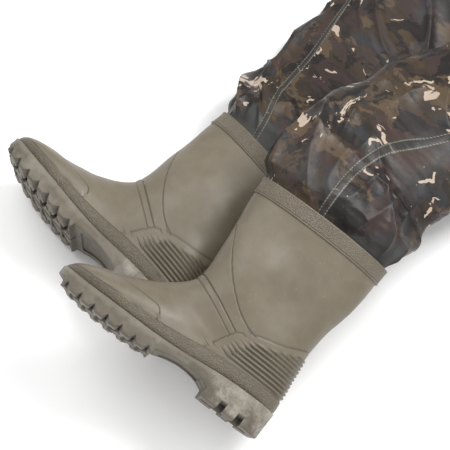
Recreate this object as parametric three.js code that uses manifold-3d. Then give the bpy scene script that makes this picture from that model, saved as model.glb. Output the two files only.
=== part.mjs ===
// Chest waders lying on their back on a flat surface, with both boots flopped over to the wearer's right.
// Units are millimetres and +Z is up. +Y runs from the boots to the braces, and +X is the wearer's left.
import * as THREE from "three";
import { mergeVertices } from "three/addons/utils/BufferGeometryUtils.js";
import Module from "manifold-3d";

const wasm = await Module();
wasm.setup();

const { PI, abs, cos, sin, sign, sqrt, max, min } = Math;
const V = (x, y, z) => new THREE.Vector3(x, y, z);
const degrees = THREE.MathUtils.degToRad;

// ---- driving dimensions ----
const GAP = 0.35; // air between two pieces that touch
const BOOT_HEIGHT = 265; // ground to the top of the shaft
const SHELL_WALL = 3.5; // moulded boot wall
const FABRIC = 2.4; // coated cloth with its folds
const CUFF_HEIGHT = 22; // textured band round the top of the shaft
const CUFF_WALL = 2;
const SLEEVE_DEPTH = 24; // how far the cloth leg is welded into the boot

// A boot's place: heel centre, heading about Z, pitch about X and roll about Y, in degrees
const BOOTS = {
  left: {
    side: 1, heel: V(66.5, -7.5, 65.5), heading: 10, pitch: 11, roll: 16.5, shaftHalf: 97, shaftThin: 31,
  },
  right: {
    side: -1, heel: V(-127, -6.5, 46), heading: -3.4, pitch: 1.6, roll: 2.7, shaftHalf: 95, shaftThin: 33,
  },
};

const TORSO_X = -100; // centre line of the body
const CROTCH_Y = 780;
const WAIST_Y = 1050;
const BIB_TOP_Y = 1400;
const BACK_TOP_Y = 1290;
const UNDERSIDE = 4.5; // the back panel lies this high, on the belt
const WEB_WIDTH = 40; // braces and belt
const WEB = 1.6; // webbing thickness
const BRACE_X = 105; // from the centre line to each brace at the bib
const BRACE_TURN_Y = 1630; // where the braces fold back

// ---- geometry helpers ----
const smooth = (t) => {
  const c = min(1, max(0, t));
  return c * c * (3 - 2 * c);
};

// Value at u of a smooth curve through [u, value] pairs
function along(points, u) {
  const last = points.length - 1;
  if (u <= points[0][0]) return points[0][1];
  if (u >= points[last][0]) return points[last][1];
  let i = 0;
  while (u > points[i + 1][0]) i++;
  const [u0, a] = points[i];
  const [u1, b] = points[i + 1];
  const slope = (j) => {
    const lo = max(0, j - 1);
    const hi = min(last, j + 1);
    return (points[hi][1] - points[lo][1]) / (points[hi][0] - points[lo][0]);
  };
  const h = u1 - u0;
  const t = (u - u0) / h;
  const t2 = t * t;
  const t3 = t2 * t;
  return (2 * t3 - 3 * t2 + 1) * a + (t3 - 2 * t2 + t) * h * slope(i) +
    (3 * t2 - 2 * t3) * b + (t3 - t2) * h * slope(i + 1);
}

// Closed geometry from points and triangles, with its faces turned outwards
function closedGeometry(points, triangles) {
  let volume = 0;
  for (const [a, b, c] of triangles) volume += points[a].dot(points[b].clone().cross(points[c]));
  const facing = volume < 0 ? triangles.map(([a, b, c]) => [a, c, b]) : triangles;
  return new THREE.BufferGeometry()
    .setAttribute("position", new THREE.Float32BufferAttribute(points.flatMap((p) => [p.x, p.y, p.z]), 3))
    .setIndex(facing.flat());
}

// Triangles between two rings of n points that start at a and b
const band = (a, b, n) => Array.from({ length: n }, (_, i) => {
  const j = (i + 1) % n;
  return [[a + i, b + i, b + j], [a + i, b + j, a + j]];
}).flat();

// Solid lofted through rings, with a fan at each end
function solidLoft(rings) {
  const n = rings[0].length;
  const points = rings.flat();
  const triangles = rings.slice(1).flatMap((_, i) => band(i * n, (i + 1) * n, n));
  const ends = [[0, 0, true], [rings.length - 1, (rings.length - 1) * n, false]];
  for (const [ring, start, flip] of ends) {
    const centre = points.length;
    points.push(rings[ring].reduce((s, p) => s.add(p), V(0, 0, 0)).divideScalar(n));
    for (let i = 0; i < n; i++) {
      const pair = [start + i, start + ((i + 1) % n)];
      triangles.push(flip ? [centre, pair[0], pair[1]] : [centre, pair[1], pair[0]]);
    }
  }
  return closedGeometry(points, triangles);
}

// Hollow skin between outer and inner rings: open at the first ring, and at the last one too unless capped
function skinLoft(outer, inner, capped = false) {
  const n = outer[0].length;
  const points = [...outer.flat(), ...inner.flat()];
  const offset = outer.length * n;
  const triangles = outer.slice(1).flatMap((_, i) => band(i * n, (i + 1) * n, n));
  inner.slice(1).forEach((_, i) => {
    triangles.push(...band(offset + i * n, offset + (i + 1) * n, n).map(([a, b, c]) => [a, c, b]));
  });
  triangles.push(...band(offset, 0, n));
  const outerEnd = (outer.length - 1) * n;
  const innerEnd = offset + (inner.length - 1) * n;
  if (!capped) triangles.push(...band(outerEnd, innerEnd, n));
  else {
    for (const [start, ring, flip] of [[outerEnd, outer.at(-1), false], [innerEnd, inner.at(-1), true]]) {
      const centre = points.length;
      points.push(ring.reduce((s, p) => s.add(p), V(0, 0, 0)).divideScalar(n));
      for (let i = 0; i < n; i++) {
        const pair = [start + i, start + ((i + 1) % n)];
        triangles.push(flip ? [centre, pair[0], pair[1]] : [centre, pair[1], pair[0]]);
      }
    }
  }
  return closedGeometry(points, triangles);
}

// Solid sheet: a grid of top points, and the same grid moved by `down`
function sheetLoft(rows, down) {
  const rings = rows.map((row) => [...row, ...[...row].reverse().map((p) => p.clone().add(down(p)))]);
  const n = rings[0].length;
  const half = n / 2;
  const points = rings.flat();
  const triangles = rings.slice(1).flatMap((_, i) => band(i * n, (i + 1) * n, n));
  for (const [start, flip] of [[0, true], [(rings.length - 1) * n, false]]) {
    for (let i = 0; i < half - 1; i++) {
      const [a, b, c, d] = [start + i, start + i + 1, start + n - 2 - i, start + n - 1 - i];
      const quad = [[a, b, c], [a, c, d]];
      triangles.push(...quad.map(([p, q, r]) => (flip ? [p, q, r] : [p, r, q])));
    }
  }
  return closedGeometry(points, triangles);
}

function toManifold(geometry) {
  const bare = geometry.clone();
  bare.deleteAttribute("normal");
  bare.deleteAttribute("uv");
  const merged = mergeVertices(bare, 1e-4);
  return new wasm.Manifold(new wasm.Mesh({
    numProp: 3,
    vertProperties: merged.attributes.position.array,
    triVerts: new Uint32Array(merged.index.array),
  }));
}

function fromManifold(solid) {
  const mesh = solid.getMesh();
  return new THREE.BufferGeometry()
    .setAttribute("position", new THREE.BufferAttribute(new Float32Array(mesh.vertProperties), 3))
    .setIndex(new THREE.BufferAttribute(new Uint32Array(mesh.triVerts), 1));
}

const block = (x0, x1, y0, y1, z0, z1) => toManifold(
  new THREE.BoxGeometry(x1 - x0, y1 - y0, z1 - z0).translate((x0 + x1) / 2, (y0 + y1) / 2, (z0 + z1) / 2),
);

// ---- materials ----
const paint = (color, roughness, metalness = 0) =>
  new THREE.MeshStandardMaterial({ color, roughness, metalness });
const PVC = paint(0x7d735d, 0.55);
const SOLE_PVC = paint(0x776d5c, 0.6);
const CLOTH = paint(0x3f382f, 0.6);
const WEBBING = paint(0x24251f, 0.85);
const PLASTIC = paint(0x1c1d1b, 0.45);
const STEEL = paint(0x8c8c88, 0.35, 1);
const FOAM = paint(0x4c4a44, 0.9);

const waders = new THREE.Group();
function add(name, geometry, material, parent = waders) {
  const mesh = new THREE.Mesh(geometry, material);
  mesh.name = name;
  parent.add(mesh);
  return mesh;
}

// ---- boots ----
// Boot frame: x to the toe, y to the wearer's left, z up the leg, origin under the heel's back edge.
// Each station is a slice of the upper, from its back or bottom point to its front or top point.
const SHAFT_STATIONS = 4;
function bootStations(boot) {
  const back = (boot.shaftHalf - 88) / 3;
  const front = 2 * boot.shaftHalf - 6;
  return [
    // back x, back z, front x, front z, half width
    [-6 - back, BOOT_HEIGHT, front - back - 4, BOOT_HEIGHT, boot.shaftThin],
    [-3 - back, 206, front - back - 10, 206, boot.shaftThin + 4],
    [1, 163, 172, 170, 42],
    [5, 125, 168, 135, 44],
    [3, 88, 170, 116, 43],
    [0, 58, 178, 104, 41],
    [1, 34.5, 189, 94, 39],
    [26, 32, 200, 86, 39],
    [60, 31, 212, 78, 40],
    [100, 28, 224, 72, 43],
    [140, 23, 238, 65, 47],
    [180, 20, 254, 58, 50],
    [215, 19, 269, 52, 51],
    [245, 19.5, 281, 47, 47],
    [270, 20.5, 291, 42, 39],
    [288, 21.5, 298, 37, 28],
    [299, 23, 303, 31, 14],
  ];
}

// The foot curves towards the big toe
const footCurve = (side, x) => -side * 12 * max(0, (x - 150) / 150) ** 2;

const RING_POINTS = 20;
function bootRing([bx, bz, fx, fz, half], side, index, inset) {
  const length = sqrt((fx - bx) ** 2 + (fz - bz) ** 2);
  const [ux, uz] = [(fx - bx) / length, (fz - bz) / length];
  const reach = length / 2 - inset;
  const boxy = index < SHAFT_STATIONS ? 2.2 : 4;
  return Array.from({ length: RING_POINTS }, (_, i) => {
    const angle = (2 * PI * i) / RING_POINTS;
    const power = 2 / (cos(angle) < 0 ? boxy : 2.2);
    const c = sign(cos(angle)) * abs(cos(angle)) ** power;
    const s = sign(sin(angle)) * abs(sin(angle)) ** power;
    const x = (bx + fx) / 2 + ux * reach * c;
    const z = (bz + fz) / 2 + uz * reach * c;
    const curve = index < SHAFT_STATIONS ? 0 : footCurve(side, x);
    return V(x, (half - inset) * s + curve, z);
  });
}

function bootShell(boot) {
  const stations = bootStations(boot);
  const outer = stations.map((s, i) => bootRing(s, boot.side, i, 0));
  const inner = stations.slice(0, -1).map((s, i) => bootRing(s, boot.side, i, SHELL_WALL));
  return skinLoft(outer, inner, true);
}

// Sole outline and its top and bottom heights, by distance from the heel
const SOLE_HALF = [[-4, 12], [4, 27], [18, 36], [45, 39], [85, 38], [120, 37.5], [165, 45], [210, 52],
  [245, 50], [275, 41], [293, 29], [303, 17], [308, 8]];
const SOLE_TOP = [
  [-4, 30], [60, 29], [100, 26.5], [140, 21.5], [180, 18.5], [230, 18], [275, 19.5], [308, 22],
];
const TREAD = 8; // depth of the tread
const SOLE_BOTTOM = [[-4, 8], [60, 8], [120, 13], [150, 11], [180, 8], [245, 8], [280, 11], [308, 17]];

function soleSlab(side) {
  const rings = SOLE_HALF.map(([x, half]) => {
    const y = footCurve(side, x);
    const [top, bottom] = [along(SOLE_TOP, x), along(SOLE_BOTTOM, x)];
    return [V(x, y - half, top), V(x, y + half, top), V(x, y + half, bottom), V(x, y - half, bottom)];
  });
  return toManifold(solidLoft(rings));
}

const HEEL_BREAST = 82; // length of the heel
const FOREFOOT_LUGS = 6;
const LUG_PITCH = 20;
const LUG_LENGTH = 13;
const FOREFOOT_START = 164;
function outsole(boot) {
  let sole = soleSlab(boot.side);
  const lugs = [
    block(2, 24, -30, 30, 0, 9),
    block(32, 50, -37, 37, 0, 9),
    block(58, HEEL_BREAST, -37, 37, 0, 14),
  ];
  for (let i = 0; i < FOREFOOT_LUGS; i++) {
    const x = FOREFOOT_START + i * LUG_PITCH;
    const rise = max(0, (x - 240) / 8);
    const half = along(SOLE_HALF, x + LUG_LENGTH / 2) - 3;
    const y = footCurve(boot.side, x);
    lugs.push(block(x, x + LUG_LENGTH, y - half, y - 6, rise, rise + TREAD + 4));
    lugs.push(block(x, x + LUG_LENGTH, y + 6, y + half, rise, rise + TREAD + 4));
  }
  for (const lug of lugs) sole = sole.add(lug);
  return fromManifold(sole);
}

const INSOLE_X = [14, 30, 60, 95, 130, 165, 200, 235, 262, 280];
function insole(boot) {
  const rings = INSOLE_X.map((x) => {
    const bottom = along(SOLE_TOP, x) + SHELL_WALL + 3.2;
    const half = along(SOLE_HALF, x) * 0.93 - 14;
    const y = footCurve(boot.side, x);
    const top = bottom + 3.5;
    return [V(x, y - half, top), V(x, y + half, top), V(x, y + half, bottom), V(x, y - half, bottom)];
  });
  return solidLoft(rings);
}

// One slice across the shaft at a height, grown by `grow` on every side
function shaftRing(boot, z, grow) {
  const stations = bootStations(boot);
  const [top, next] = stations;
  const t = (top[1] - z) / (top[1] - next[1]);
  const mix = top.map((value, i) => value + (next[i] - value) * t);
  mix[1] = z;
  mix[3] = z;
  return bootRing(mix, boot.side, 0, -grow);
}

function cuff(boot) {
  const heights = [BOOT_HEIGHT - CUFF_HEIGHT, BOOT_HEIGHT + 1.5];
  const outer = heights.map((z) => shaftRing(boot, z, CUFF_WALL + 2 * GAP));
  const inner = heights.map((z) => shaftRing(boot, z, 2 * GAP));
  return skinLoft(outer, inner);
}

// Nested groups turn the boot frame into the row frame: laid on its side, then rolled, pitched and headed
function bootGroup(boot) {
  const placed = new THREE.Group();
  placed.position.copy(boot.heel);
  placed.rotation.set(degrees(boot.pitch), degrees(boot.roll), degrees(boot.heading), "ZXY");
  const laid = new THREE.Group();
  laid.rotation.set(PI / 2, 0, PI, "ZXY");
  placed.add(laid);
  waders.add(placed);
  placed.updateMatrixWorld(true);
  return laid;
}

// ---- cloth legs ----
// Each row: y, centre x, centre z, half width, half thickness, tilt of the section in degrees
const LEGS = {
  left: [
    [335, -78, 126, 102, 30, 15],
    [425, -74, 96, 106, 27, 13],
    [520, -56, 78, 108, 26, 11],
    [600, -26, 69, 112, 26, 10],
    [660, 4, 53, 118, 27, 6],
    [720, 30, 41, 132, 31, 2],
    [CROTCH_Y - 2, 46, 38, 144, 33, 0],
  ],
  right: [
    [340, -206, 43, 103, 25, 2],
    [430, -218, 28, 107, 20, 0],
    [520, -226, 25, 108, 20, 0],
    [600, -234, 26, 112, 20, 0],
    [660, -240, 29, 120, 23, 0],
    [720, -244, 35, 132, 29, 0],
    [CROTCH_Y - 2, -246, 38, 144, 33, 0],
  ],
};

function legRing([y, cx, cz, half, thin, tilt], inset) {
  const [c, s] = [cos(degrees(tilt)), sin(degrees(tilt))];
  return Array.from({ length: RING_POINTS }, (_, i) => {
    const angle = (2 * PI * i) / RING_POINTS;
    const power = 2 / 2.4;
    const u = -(half - inset) * sign(cos(angle)) * abs(cos(angle)) ** power;
    const v = (thin - inset) * sign(sin(angle)) * abs(sin(angle)) ** power;
    return V(cx + u * c + v * s, y, cz - u * s + v * c);
  });
}

function leg(name, boot, matrix) {
  const toWorld = (ring) => ring.map((p) => p.clone().applyMatrix4(matrix));
  const inBoot = (z, grow) => toWorld(shaftRing(boot, z, grow - SHELL_WALL - 2 * GAP));
  const rows = (inset) => [
    inBoot(BOOT_HEIGHT - SLEEVE_DEPTH, -inset),
    inBoot(BOOT_HEIGHT + 2, -inset),
    toWorld(shaftRing(boot, BOOT_HEIGHT + 26, -inset)),
    ...LEGS[name].map((row) => legRing(row, inset)),
  ];
  return skinLoft(rows(0), rows(FABRIC));
}

// ---- body ----
const BODY_HALF = [[CROTCH_Y, 291], [900, 292], [WAIST_Y, 284], [1150, 279], [1200, 262]];
const FRONT_HALF = [...BODY_HALF, [1250, 224], [1300, 184], [1350, 164], [BIB_TOP_Y, 156]];
const BACK_HALF = [...BODY_HALF, [1240, 205], [BACK_TOP_Y, 150]];
const BODY_TOP = [[CROTCH_Y, 71], [900, 74], [1010, 66], [1090, 66], [1200, 60], [1300, 46], [BIB_TOP_Y, 42]];
const SEAM_Z = [[CROTCH_Y, 37], [1150, 34], [1250, 26], [BIB_TOP_Y, 20]];
const BODY_COLUMNS = 14;

const arch = (u) => (1 - min(1, abs(u)) ** 2.4) ** (1 / 2.4);
const frontZ = (x, y) => {
  const seam = along(SEAM_Z, y);
  return seam + (along(BODY_TOP, y) - seam) * arch((x - TORSO_X) / along(FRONT_HALF, y));
};
const backZ = (x, y) => {
  const seam = along(SEAM_Z, y) - 2 * FABRIC - GAP;
  return seam - (seam - UNDERSIDE) * arch((x - TORSO_X) / along(BACK_HALF, y));
};

// Points across the body, closer together at the sides, where the panels curve most
const acrossBody = (half, inset) => Array.from({ length: BODY_COLUMNS + 1 }, (_, i) => (
  TORSO_X - (half - inset) * cos((PI * i) / BODY_COLUMNS)
));

function frontPanel() {
  const ys = [CROTCH_Y, 840, 900, 960, 1010, 1060, 1110, 1160, 1200, 1240, 1280, 1320, 1360, BIB_TOP_Y];
  const rows = ys.map((y) => acrossBody(along(FRONT_HALF, y), 0).map((x) => V(x, y, frontZ(x, y))));
  return sheetLoft(rows, (p) => V(inward(p, FRONT_HALF), 0, -FABRIC));
}

function backPanel() {
  const ys = [CROTCH_Y, 840, 900, 960, 1010, 1060, 1110, 1160, 1200, 1240, 1265, BACK_TOP_Y];
  const rows = ys.map((y) => acrossBody(along(BACK_HALF, y), 0).map((x) => V(x, y, backZ(x, y))));
  return sheetLoft(rows, (p) => V(inward(p, BACK_HALF), 0, FABRIC));
}

// Sideways shift that keeps a curved panel's wall thick at its steep edges
const inward = (p, outline) => {
  const u = (p.x - TORSO_X) / along(outline, p.y);
  return -FABRIC * sign(u) * smooth((abs(u) - 0.6) / 0.4);
};

// ---- side-release buckle ----
// Buckle frame: x is the way the male half pulls out, z up, origin at the mouth, from z 0 to BUCKLE.high.
const BUCKLE = { wide: 50, high: 9, deep: 34, wall: 1.7, bar: 5, slot: 9, pull: 24 };
const PRONG_ROOT = 15; // prong hinge, from the centre line
function buckleSocket() {
  const { wide, high, deep, wall, bar, slot } = BUCKLE;
  const half = wide / 2;
  let body = block(-deep, 0, -half, half, 0, high);
  body = body.subtract(block(-deep + 4, 1, -half - 1, half + 1, wall, high - wall));
  const frame = block(-deep - slot - bar, -deep + 1, -half, half, 2, high - 2);
  body = body.add(frame.subtract(block(-deep - slot, -deep, -half + 3.5, half - 3.5, 0, high)));
  return fromManifold(body);
}

function buckleTongue() {
  const { wide, high, deep, wall, bar, slot } = BUCKLE;
  const half = wide / 2;
  const frame = block(1, 5 + slot + bar, -half, half, 2, high - 2);
  const slotCut = block(5, 5 + slot, -half + 3.5, half - 3.5, 0, high);
  const guide = block(-deep + 8, 2, -5, 5, wall + 0.6, high - wall - 0.6);
  return fromManifold(frame.subtract(slotCut).add(guide));
}

function buckleProng(side) {
  const { high, wall } = BUCKLE;
  const outline = new THREE.Shape([
    [0.5, PRONG_ROOT - 2.5], [0.5, PRONG_ROOT + 2.5], [-12, PRONG_ROOT + 5.5], [-13, PRONG_ROOT + 9.5],
    [-23, PRONG_ROOT + 7], [-27, PRONG_ROOT + 2], [-24, PRONG_ROOT - 0.5], [-12, PRONG_ROOT],
  ].map(([x, y]) => new THREE.Vector2(x, side * y)));
  const thickness = high - 2 * wall - 1.2;
  return new THREE.ExtrudeGeometry(outline, { depth: thickness, bevelEnabled: false })
    .translate(0, 0, wall + 0.6);
}

// Webbing folded round the tongue's bar: two arms, with room between them for the strap's end
const LOOP_GAP = WEB + 2 * GAP; // between the two arms
const LOOP_ARM = 46;
function tongueLoop() {
  const { high, bar, slot } = BUCKLE;
  const middle = high / 2;
  const reach = LOOP_GAP / 2;
  const turnX = 5 + slot + bar / 2; // centre of the bar
  const around = 4.2; // half height of the fold round the bar
  const side = (r) => [
    V(turnX + LOOP_ARM, 0, middle + reach + WEB + r - around),
    V(turnX + 8, 0, middle + reach + WEB + r - around),
    V(turnX + 3, 0, middle + r),
    V(turnX - 5 - (r - around), 0, middle + r),
  ];
  const outer = side(around);
  const inner = side(around - WEB);
  const mirror = (p) => V(p.x, 0, 2 * middle - p.z);
  const profile = [
    ...outer,
    ...[...outer].reverse().map(mirror),
    ...inner.map(mirror),
    ...[...inner].reverse(),
  ];
  const shape = new THREE.Shape(profile.map((p) => new THREE.Vector2(p.x, p.z)));
  return new THREE.ExtrudeGeometry(shape, { depth: WEB_WIDTH, bevelEnabled: false })
    .rotateX(PI / 2).translate(0, WEB_WIDTH / 2, 0);
}

// Three-bar slide adjuster with a fold of webbing over its middle bar, in the buckle frame's directions
function adjusterFrame() {
  const half = WEB_WIDTH / 2 + 5;
  let frame = block(-15, 15, -half, half, 0, 4);
  for (const x of [-7.5, 7.5]) frame = frame.subtract(block(x - 4, x + 4, -half + 4, half - 4, -1, 5));
  return fromManifold(frame);
}

function adjusterFold() {
  const rise = [[-7.5, 0.6], [-5, 4.6], [0, 6], [5, 4.6], [7.5, 0.6]];
  const rows = rise.map(([x, z]) => [V(x, -WEB_WIDTH / 2, z), V(x, WEB_WIDTH / 2, z)]);
  return sheetLoft(rows, () => V(0, 0, -0.9));
}

// The socket's own fold faces the other way, its bar as far behind the mouth as the tongue's is in front
const SOCKET_SHIFT = -BUCKLE.deep + 5;
const socketFold = () => tongueLoop().rotateZ(PI).translate(SOCKET_SHIFT, 0, 0);

function buckle(name, place) {
  add(`${name}_buckle_socket`, buckleSocket(), PLASTIC, place);
  add(`${name}_buckle_tongue`, buckleTongue(), PLASTIC, place);
  add(`${name}_buckle_prong_a`, buckleProng(1), PLASTIC, place);
  add(`${name}_buckle_prong_b`, buckleProng(-1), PLASTIC, place);
  add(`${name}_tongue_loop`, tongueLoop(), WEBBING, place);
  add(`${name}_socket_fold`, socketFold(), WEBBING, place);
}

// ---- braces ----
const BRACE_MOUTH_Y = 1338; // mouth of the brace buckles
const BRACE_Z = 53; // underside of the brace buckles
const WEB_LEVEL = BRACE_Z + BUCKLE.high / 2; // middle of the webbing at the buckle
const RUN_START = 46; // the strap's end inside the loop, from the mouth
const ADJUSTER_AT = 108; // from the mouth
const RUN_FLAT = 180;

// Middle line of a brace, from the buckle over the turn and back under the bib: [x offset, y, z]
function braceLine(side) {
  const x = side * BRACE_X;
  const y = BRACE_MOUTH_Y;
  const turn = 6; // half height of the fold
  const low = side > 0 ? 2.8 : 0.9; // one brace crosses over the other
  return [
    [x, y + RUN_START, WEB_LEVEL], [x, y + RUN_FLAT, WEB_LEVEL], [x, y + 205, WEB_LEVEL - 10],
    [x, y + 235, WEB_LEVEL - 29], [x, y + 255, 2 * turn + 5],
    [x, BRACE_TURN_Y - 14, 2 * turn + 1], [x, BRACE_TURN_Y - 4, 2 * turn - 1], [x, BRACE_TURN_Y, turn + 1],
    [x, BRACE_TURN_Y - 4, 3.6], [x, BRACE_TURN_Y - 14, low],
    [x * 0.55, 1560, low], [0, 1490, low], [-x * 0.45, 1420, low], [-x * 0.75, 1345, low],
    [-x * 0.9, BACK_TOP_Y - 28, low],
  ];
}

function braceStrap(side) {
  const line = braceLine(side).map(([x, y, z]) => V(TORSO_X + x, y, z));
  const rings = line.map((p, i) => {
    const before = line[max(0, i - 1)];
    const after = line[min(line.length - 1, i + 1)];
    const run = after.clone().sub(before).normalize();
    // The webbing stays level across, so its width is square to the run in plan
    const plan = V(run.x, run.y, 0);
    const across = plan.length() > 0.2 ? V(-plan.y, plan.x, 0).normalize() : V(-1, 0, 0);
    if (across.x > 0) across.negate();
    const up = run.clone().cross(across).normalize();
    const [w, t] = [WEB_WIDTH / 2, WEB / 2];
    return [[-w, -t], [w, -t], [w, t], [-w, t]].map(([a, b]) => (
      p.clone().addScaledVector(across, a).addScaledVector(up, b)
    ));
  });
  return solidLoft(rings);
}

// ---- waist belt ----
const BELT_X = TORSO_X + 40; // mouth of the belt buckle
const BELT_RISE = 3.4; // centre of the webbing above the cloth
const BELT_Z = frontZ(BELT_X - 70, WAIST_Y) + 2.2; // underside of the belt buckle
const BELT_LEVEL = BELT_Z + BUCKLE.high / 2;

// The belt runs from inside the tongue's loop, round the wearer's left, back and right, to the socket's fold
function belt() {
  const half = along(FRONT_HALF, WAIST_Y) + 2 * BELT_RISE;
  const top = along(BODY_TOP, WAIST_Y) + BELT_RISE;
  const bottom = UNDERSIDE - BELT_RISE + 0.6;
  const seam = along(SEAM_Z, WAIST_Y) - FABRIC;
  const start = BELT_X + RUN_START;
  const end = BELT_X + SOCKET_SHIFT - RUN_START;
  const round = [];
  for (let angle = 62; angle >= -242; angle -= 8) {
    const [c, s] = [cos(degrees(angle)), sin(degrees(angle))];
    const x = TORSO_X + half * sign(c) * abs(c) ** (2 / 2.4);
    const z = seam + (s > 0 ? top - seam : seam - bottom) * sign(s) * abs(s) ** (2 / 2.4);
    round.push(V(x, WAIST_Y, z));
  }
  const line = [
    V(start, WAIST_Y, BELT_LEVEL), V(start + 44, WAIST_Y, BELT_LEVEL), ...round,
    V(end - 24, WAIST_Y, BELT_LEVEL), V(end, WAIST_Y, BELT_LEVEL),
  ];
  const rings = line.map((p, i) => {
    const run = line[min(line.length - 1, i + 1)].clone().sub(line[max(0, i - 1)]).normalize();
    const up = V(-run.z, 0, run.x);
    return [[-1, -1], [1, -1], [1, 1], [-1, 1]].map(([a, b]) => (
      p.clone().addScaledVector(up, (b * WEB) / 2).add(V(0, (a * WEB_WIDTH) / 2, 0))
    ));
  });
  return solidLoft(rings);
}

const LOOP_WIDTH = 22; // belt loop
function beltLoop(x) {
  const profile = [[-32, 0.5], [-24, 0.5], [-23, 6.4], [23, 6.4], [24, 0.5], [32, 0.5]];
  const rows = profile.map(([dy, rise]) => [-1, 1].map((across) => {
    const px = x + (across * LOOP_WIDTH) / 2;
    const edges = [px, x - LOOP_WIDTH / 2, x + LOOP_WIDTH / 2];
    return V(px, WAIST_Y + dy, max(...edges.map((e) => frontZ(e, WAIST_Y + dy))) + rise + WEB);
  }));
  return sheetLoft(rows, () => V(0, 0, -WEB));
}

// ---- chest pocket ----
const POCKET_HALF = 70;
const POCKET_BOTTOM = 1130;
const POCKET_TOP = 1262;
const FLAP_HINGE_Y = 1284;
const FLAP_TIP_Y = 1212;
const POCKET_PUFF = 9;
const pocketZ = (x, y) => {
  const across = 1 - ((x - TORSO_X) / POCKET_HALF) ** 4;
  const up = smooth((y - POCKET_BOTTOM) / 30) * smooth((FLAP_HINGE_Y - y) / 22);
  return frontZ(x, y) + POCKET_PUFF * max(0, across) * up;
};
const spread = (from, to, steps) =>
  Array.from({ length: steps + 1 }, (_, i) => from + ((to - from) * i) / steps);
const patch = (xs, ys, surface, rise, thickness) => sheetLoft(
  ys.map((y) => xs.map((x) => V(x, y, surface(x, y) + rise + thickness))),
  () => V(0, 0, -thickness),
);
const POCKET_X = spread(TORSO_X - POCKET_HALF, TORSO_X + POCKET_HALF, 8);
const CLOSURE_X = spread(TORSO_X - 35, TORSO_X + 35, 4);
const CLOSURE_Y = [FLAP_TIP_Y + 4, FLAP_TIP_Y + 12, FLAP_TIP_Y + 20];
const CLOSURE = 1; // thickness of each closure patch

// ---- lashing ring ----
const DEE_X = TORSO_X - 175;
const DEE_Y = 1196;
const DEE_WIRE = 3;
function deeRing() {
  const outline = (radius, top, z) => {
    const arc = spread(0, -PI, 10).map((t) => V(radius * cos(t), -10 + radius * sin(t), z));
    return [V(-radius, top, z), V(radius, top, z), ...arc];
  };
  const heights = [-DEE_WIRE / 2, DEE_WIRE / 2];
  return skinLoft(heights.map((z) => outline(16, 2, z)), heights.map((z) => outline(13, -1, z)));
}

// Strip folded round the ring's straight bar, with both arms running up the chest from it
function deeTab() {
  const points = [
    [26, 2.8], [6, 2.8], [3.8, 3.6], [-3.2, 3.6], [-3.2, -3.6], [3.8, -3.6], [6, 0.2], [26, 0.2],
    [26, 1.4], [6.6, 1.4], [3.4, -2.4], [-2, -2.4], [-2, 2.4], [3.4, 2.4], [6.6, 1.6], [26, 1.6],
  ];
  const shape = new THREE.Shape(points.map(([y, z]) => new THREE.Vector2(y, z)));
  return new THREE.ExtrudeGeometry(shape, { depth: 22, bevelEnabled: false })
    .rotateX(PI / 2).rotateZ(PI / 2).translate(-11, 0, 0);
}

// ---- assembly ----
for (const [name, boot] of Object.entries(BOOTS)) {
  const place = bootGroup(boot);
  add(`${name}_boot_upper`, bootShell(boot), PVC, place);
  add(`${name}_outsole`, outsole(boot), SOLE_PVC, place);
  add(`${name}_insole`, insole(boot), FOAM, place);
  add(`${name}_boot_cuff`, cuff(boot), PVC, place);
  add(`${name}_leg`, leg(name, boot, place.matrixWorld), CLOTH);
}
add("front_panel", frontPanel(), CLOTH);
add("back_panel", backPanel(), CLOTH);

for (const [name, side] of [["left", 1], ["right", -1]]) {
  const place = new THREE.Group();
  place.position.set(TORSO_X + side * BRACE_X, BRACE_MOUTH_Y, BRACE_Z);
  place.rotation.z = PI / 2;
  waders.add(place);
  buckle(`${name}_brace`, place);
  const slider = new THREE.Group();
  slider.position.set(ADJUSTER_AT, 0, BUCKLE.high / 2 + LOOP_GAP / 2 + WEB + GAP);
  place.add(slider);
  add(`${name}_brace_adjuster`, adjusterFrame(), PLASTIC, slider);
  add(`${name}_adjuster_fold`, adjusterFold(), WEBBING, slider);
  add(`${name}_brace`, braceStrap(side), WEBBING);
  const x = TORSO_X + side * BRACE_X;
  add(`${name}_brace_patch`, patch(spread(x - 24, x + 24, 4), spread(1222, 1286, 3), frontZ, 0.4, 1.2), PVC);
  add(`${name}_belt_loop`, beltLoop(TORSO_X + side * 185), WEBBING);
}
add("cross_patch", patch([TORSO_X - 30, TORSO_X + 30], [1462, 1518], () => 0, 4, 2), PVC);
add("waist_belt", belt(), WEBBING);
const beltPlace = new THREE.Group();
beltPlace.position.set(BELT_X, WAIST_Y, BELT_Z);
waders.add(beltPlace);
buckle("belt", beltPlace);

add("chest_pocket", patch(POCKET_X, spread(POCKET_BOTTOM, POCKET_TOP, 7), pocketZ, 0.4, FABRIC), CLOTH);
const flapY = [FLAP_HINGE_Y, 1272, 1258, 1244, 1228, FLAP_TIP_Y];
const flapRise = FABRIC + 2 * CLOSURE + 1.6;
add("pocket_flap", patch(POCKET_X, flapY, pocketZ, flapRise, FABRIC), CLOTH);
add("pocket_loop_patch", patch(CLOSURE_X, CLOSURE_Y, pocketZ, FABRIC + 0.7, CLOSURE), WEBBING);
add("flap_hook_patch", patch(CLOSURE_X, CLOSURE_Y, pocketZ, FABRIC + CLOSURE + 1.1, CLOSURE), WEBBING);

const deePlace = new THREE.Group();
deePlace.position.set(DEE_X, DEE_Y, max(frontZ(DEE_X + 11, DEE_Y + 20), frontZ(DEE_X + 11, DEE_Y - 5)) + 4.3);
waders.add(deePlace);
add("dee_ring", deeRing(), STEEL, deePlace);
add("dee_tab", deeTab(), WEBBING, deePlace);

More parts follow.
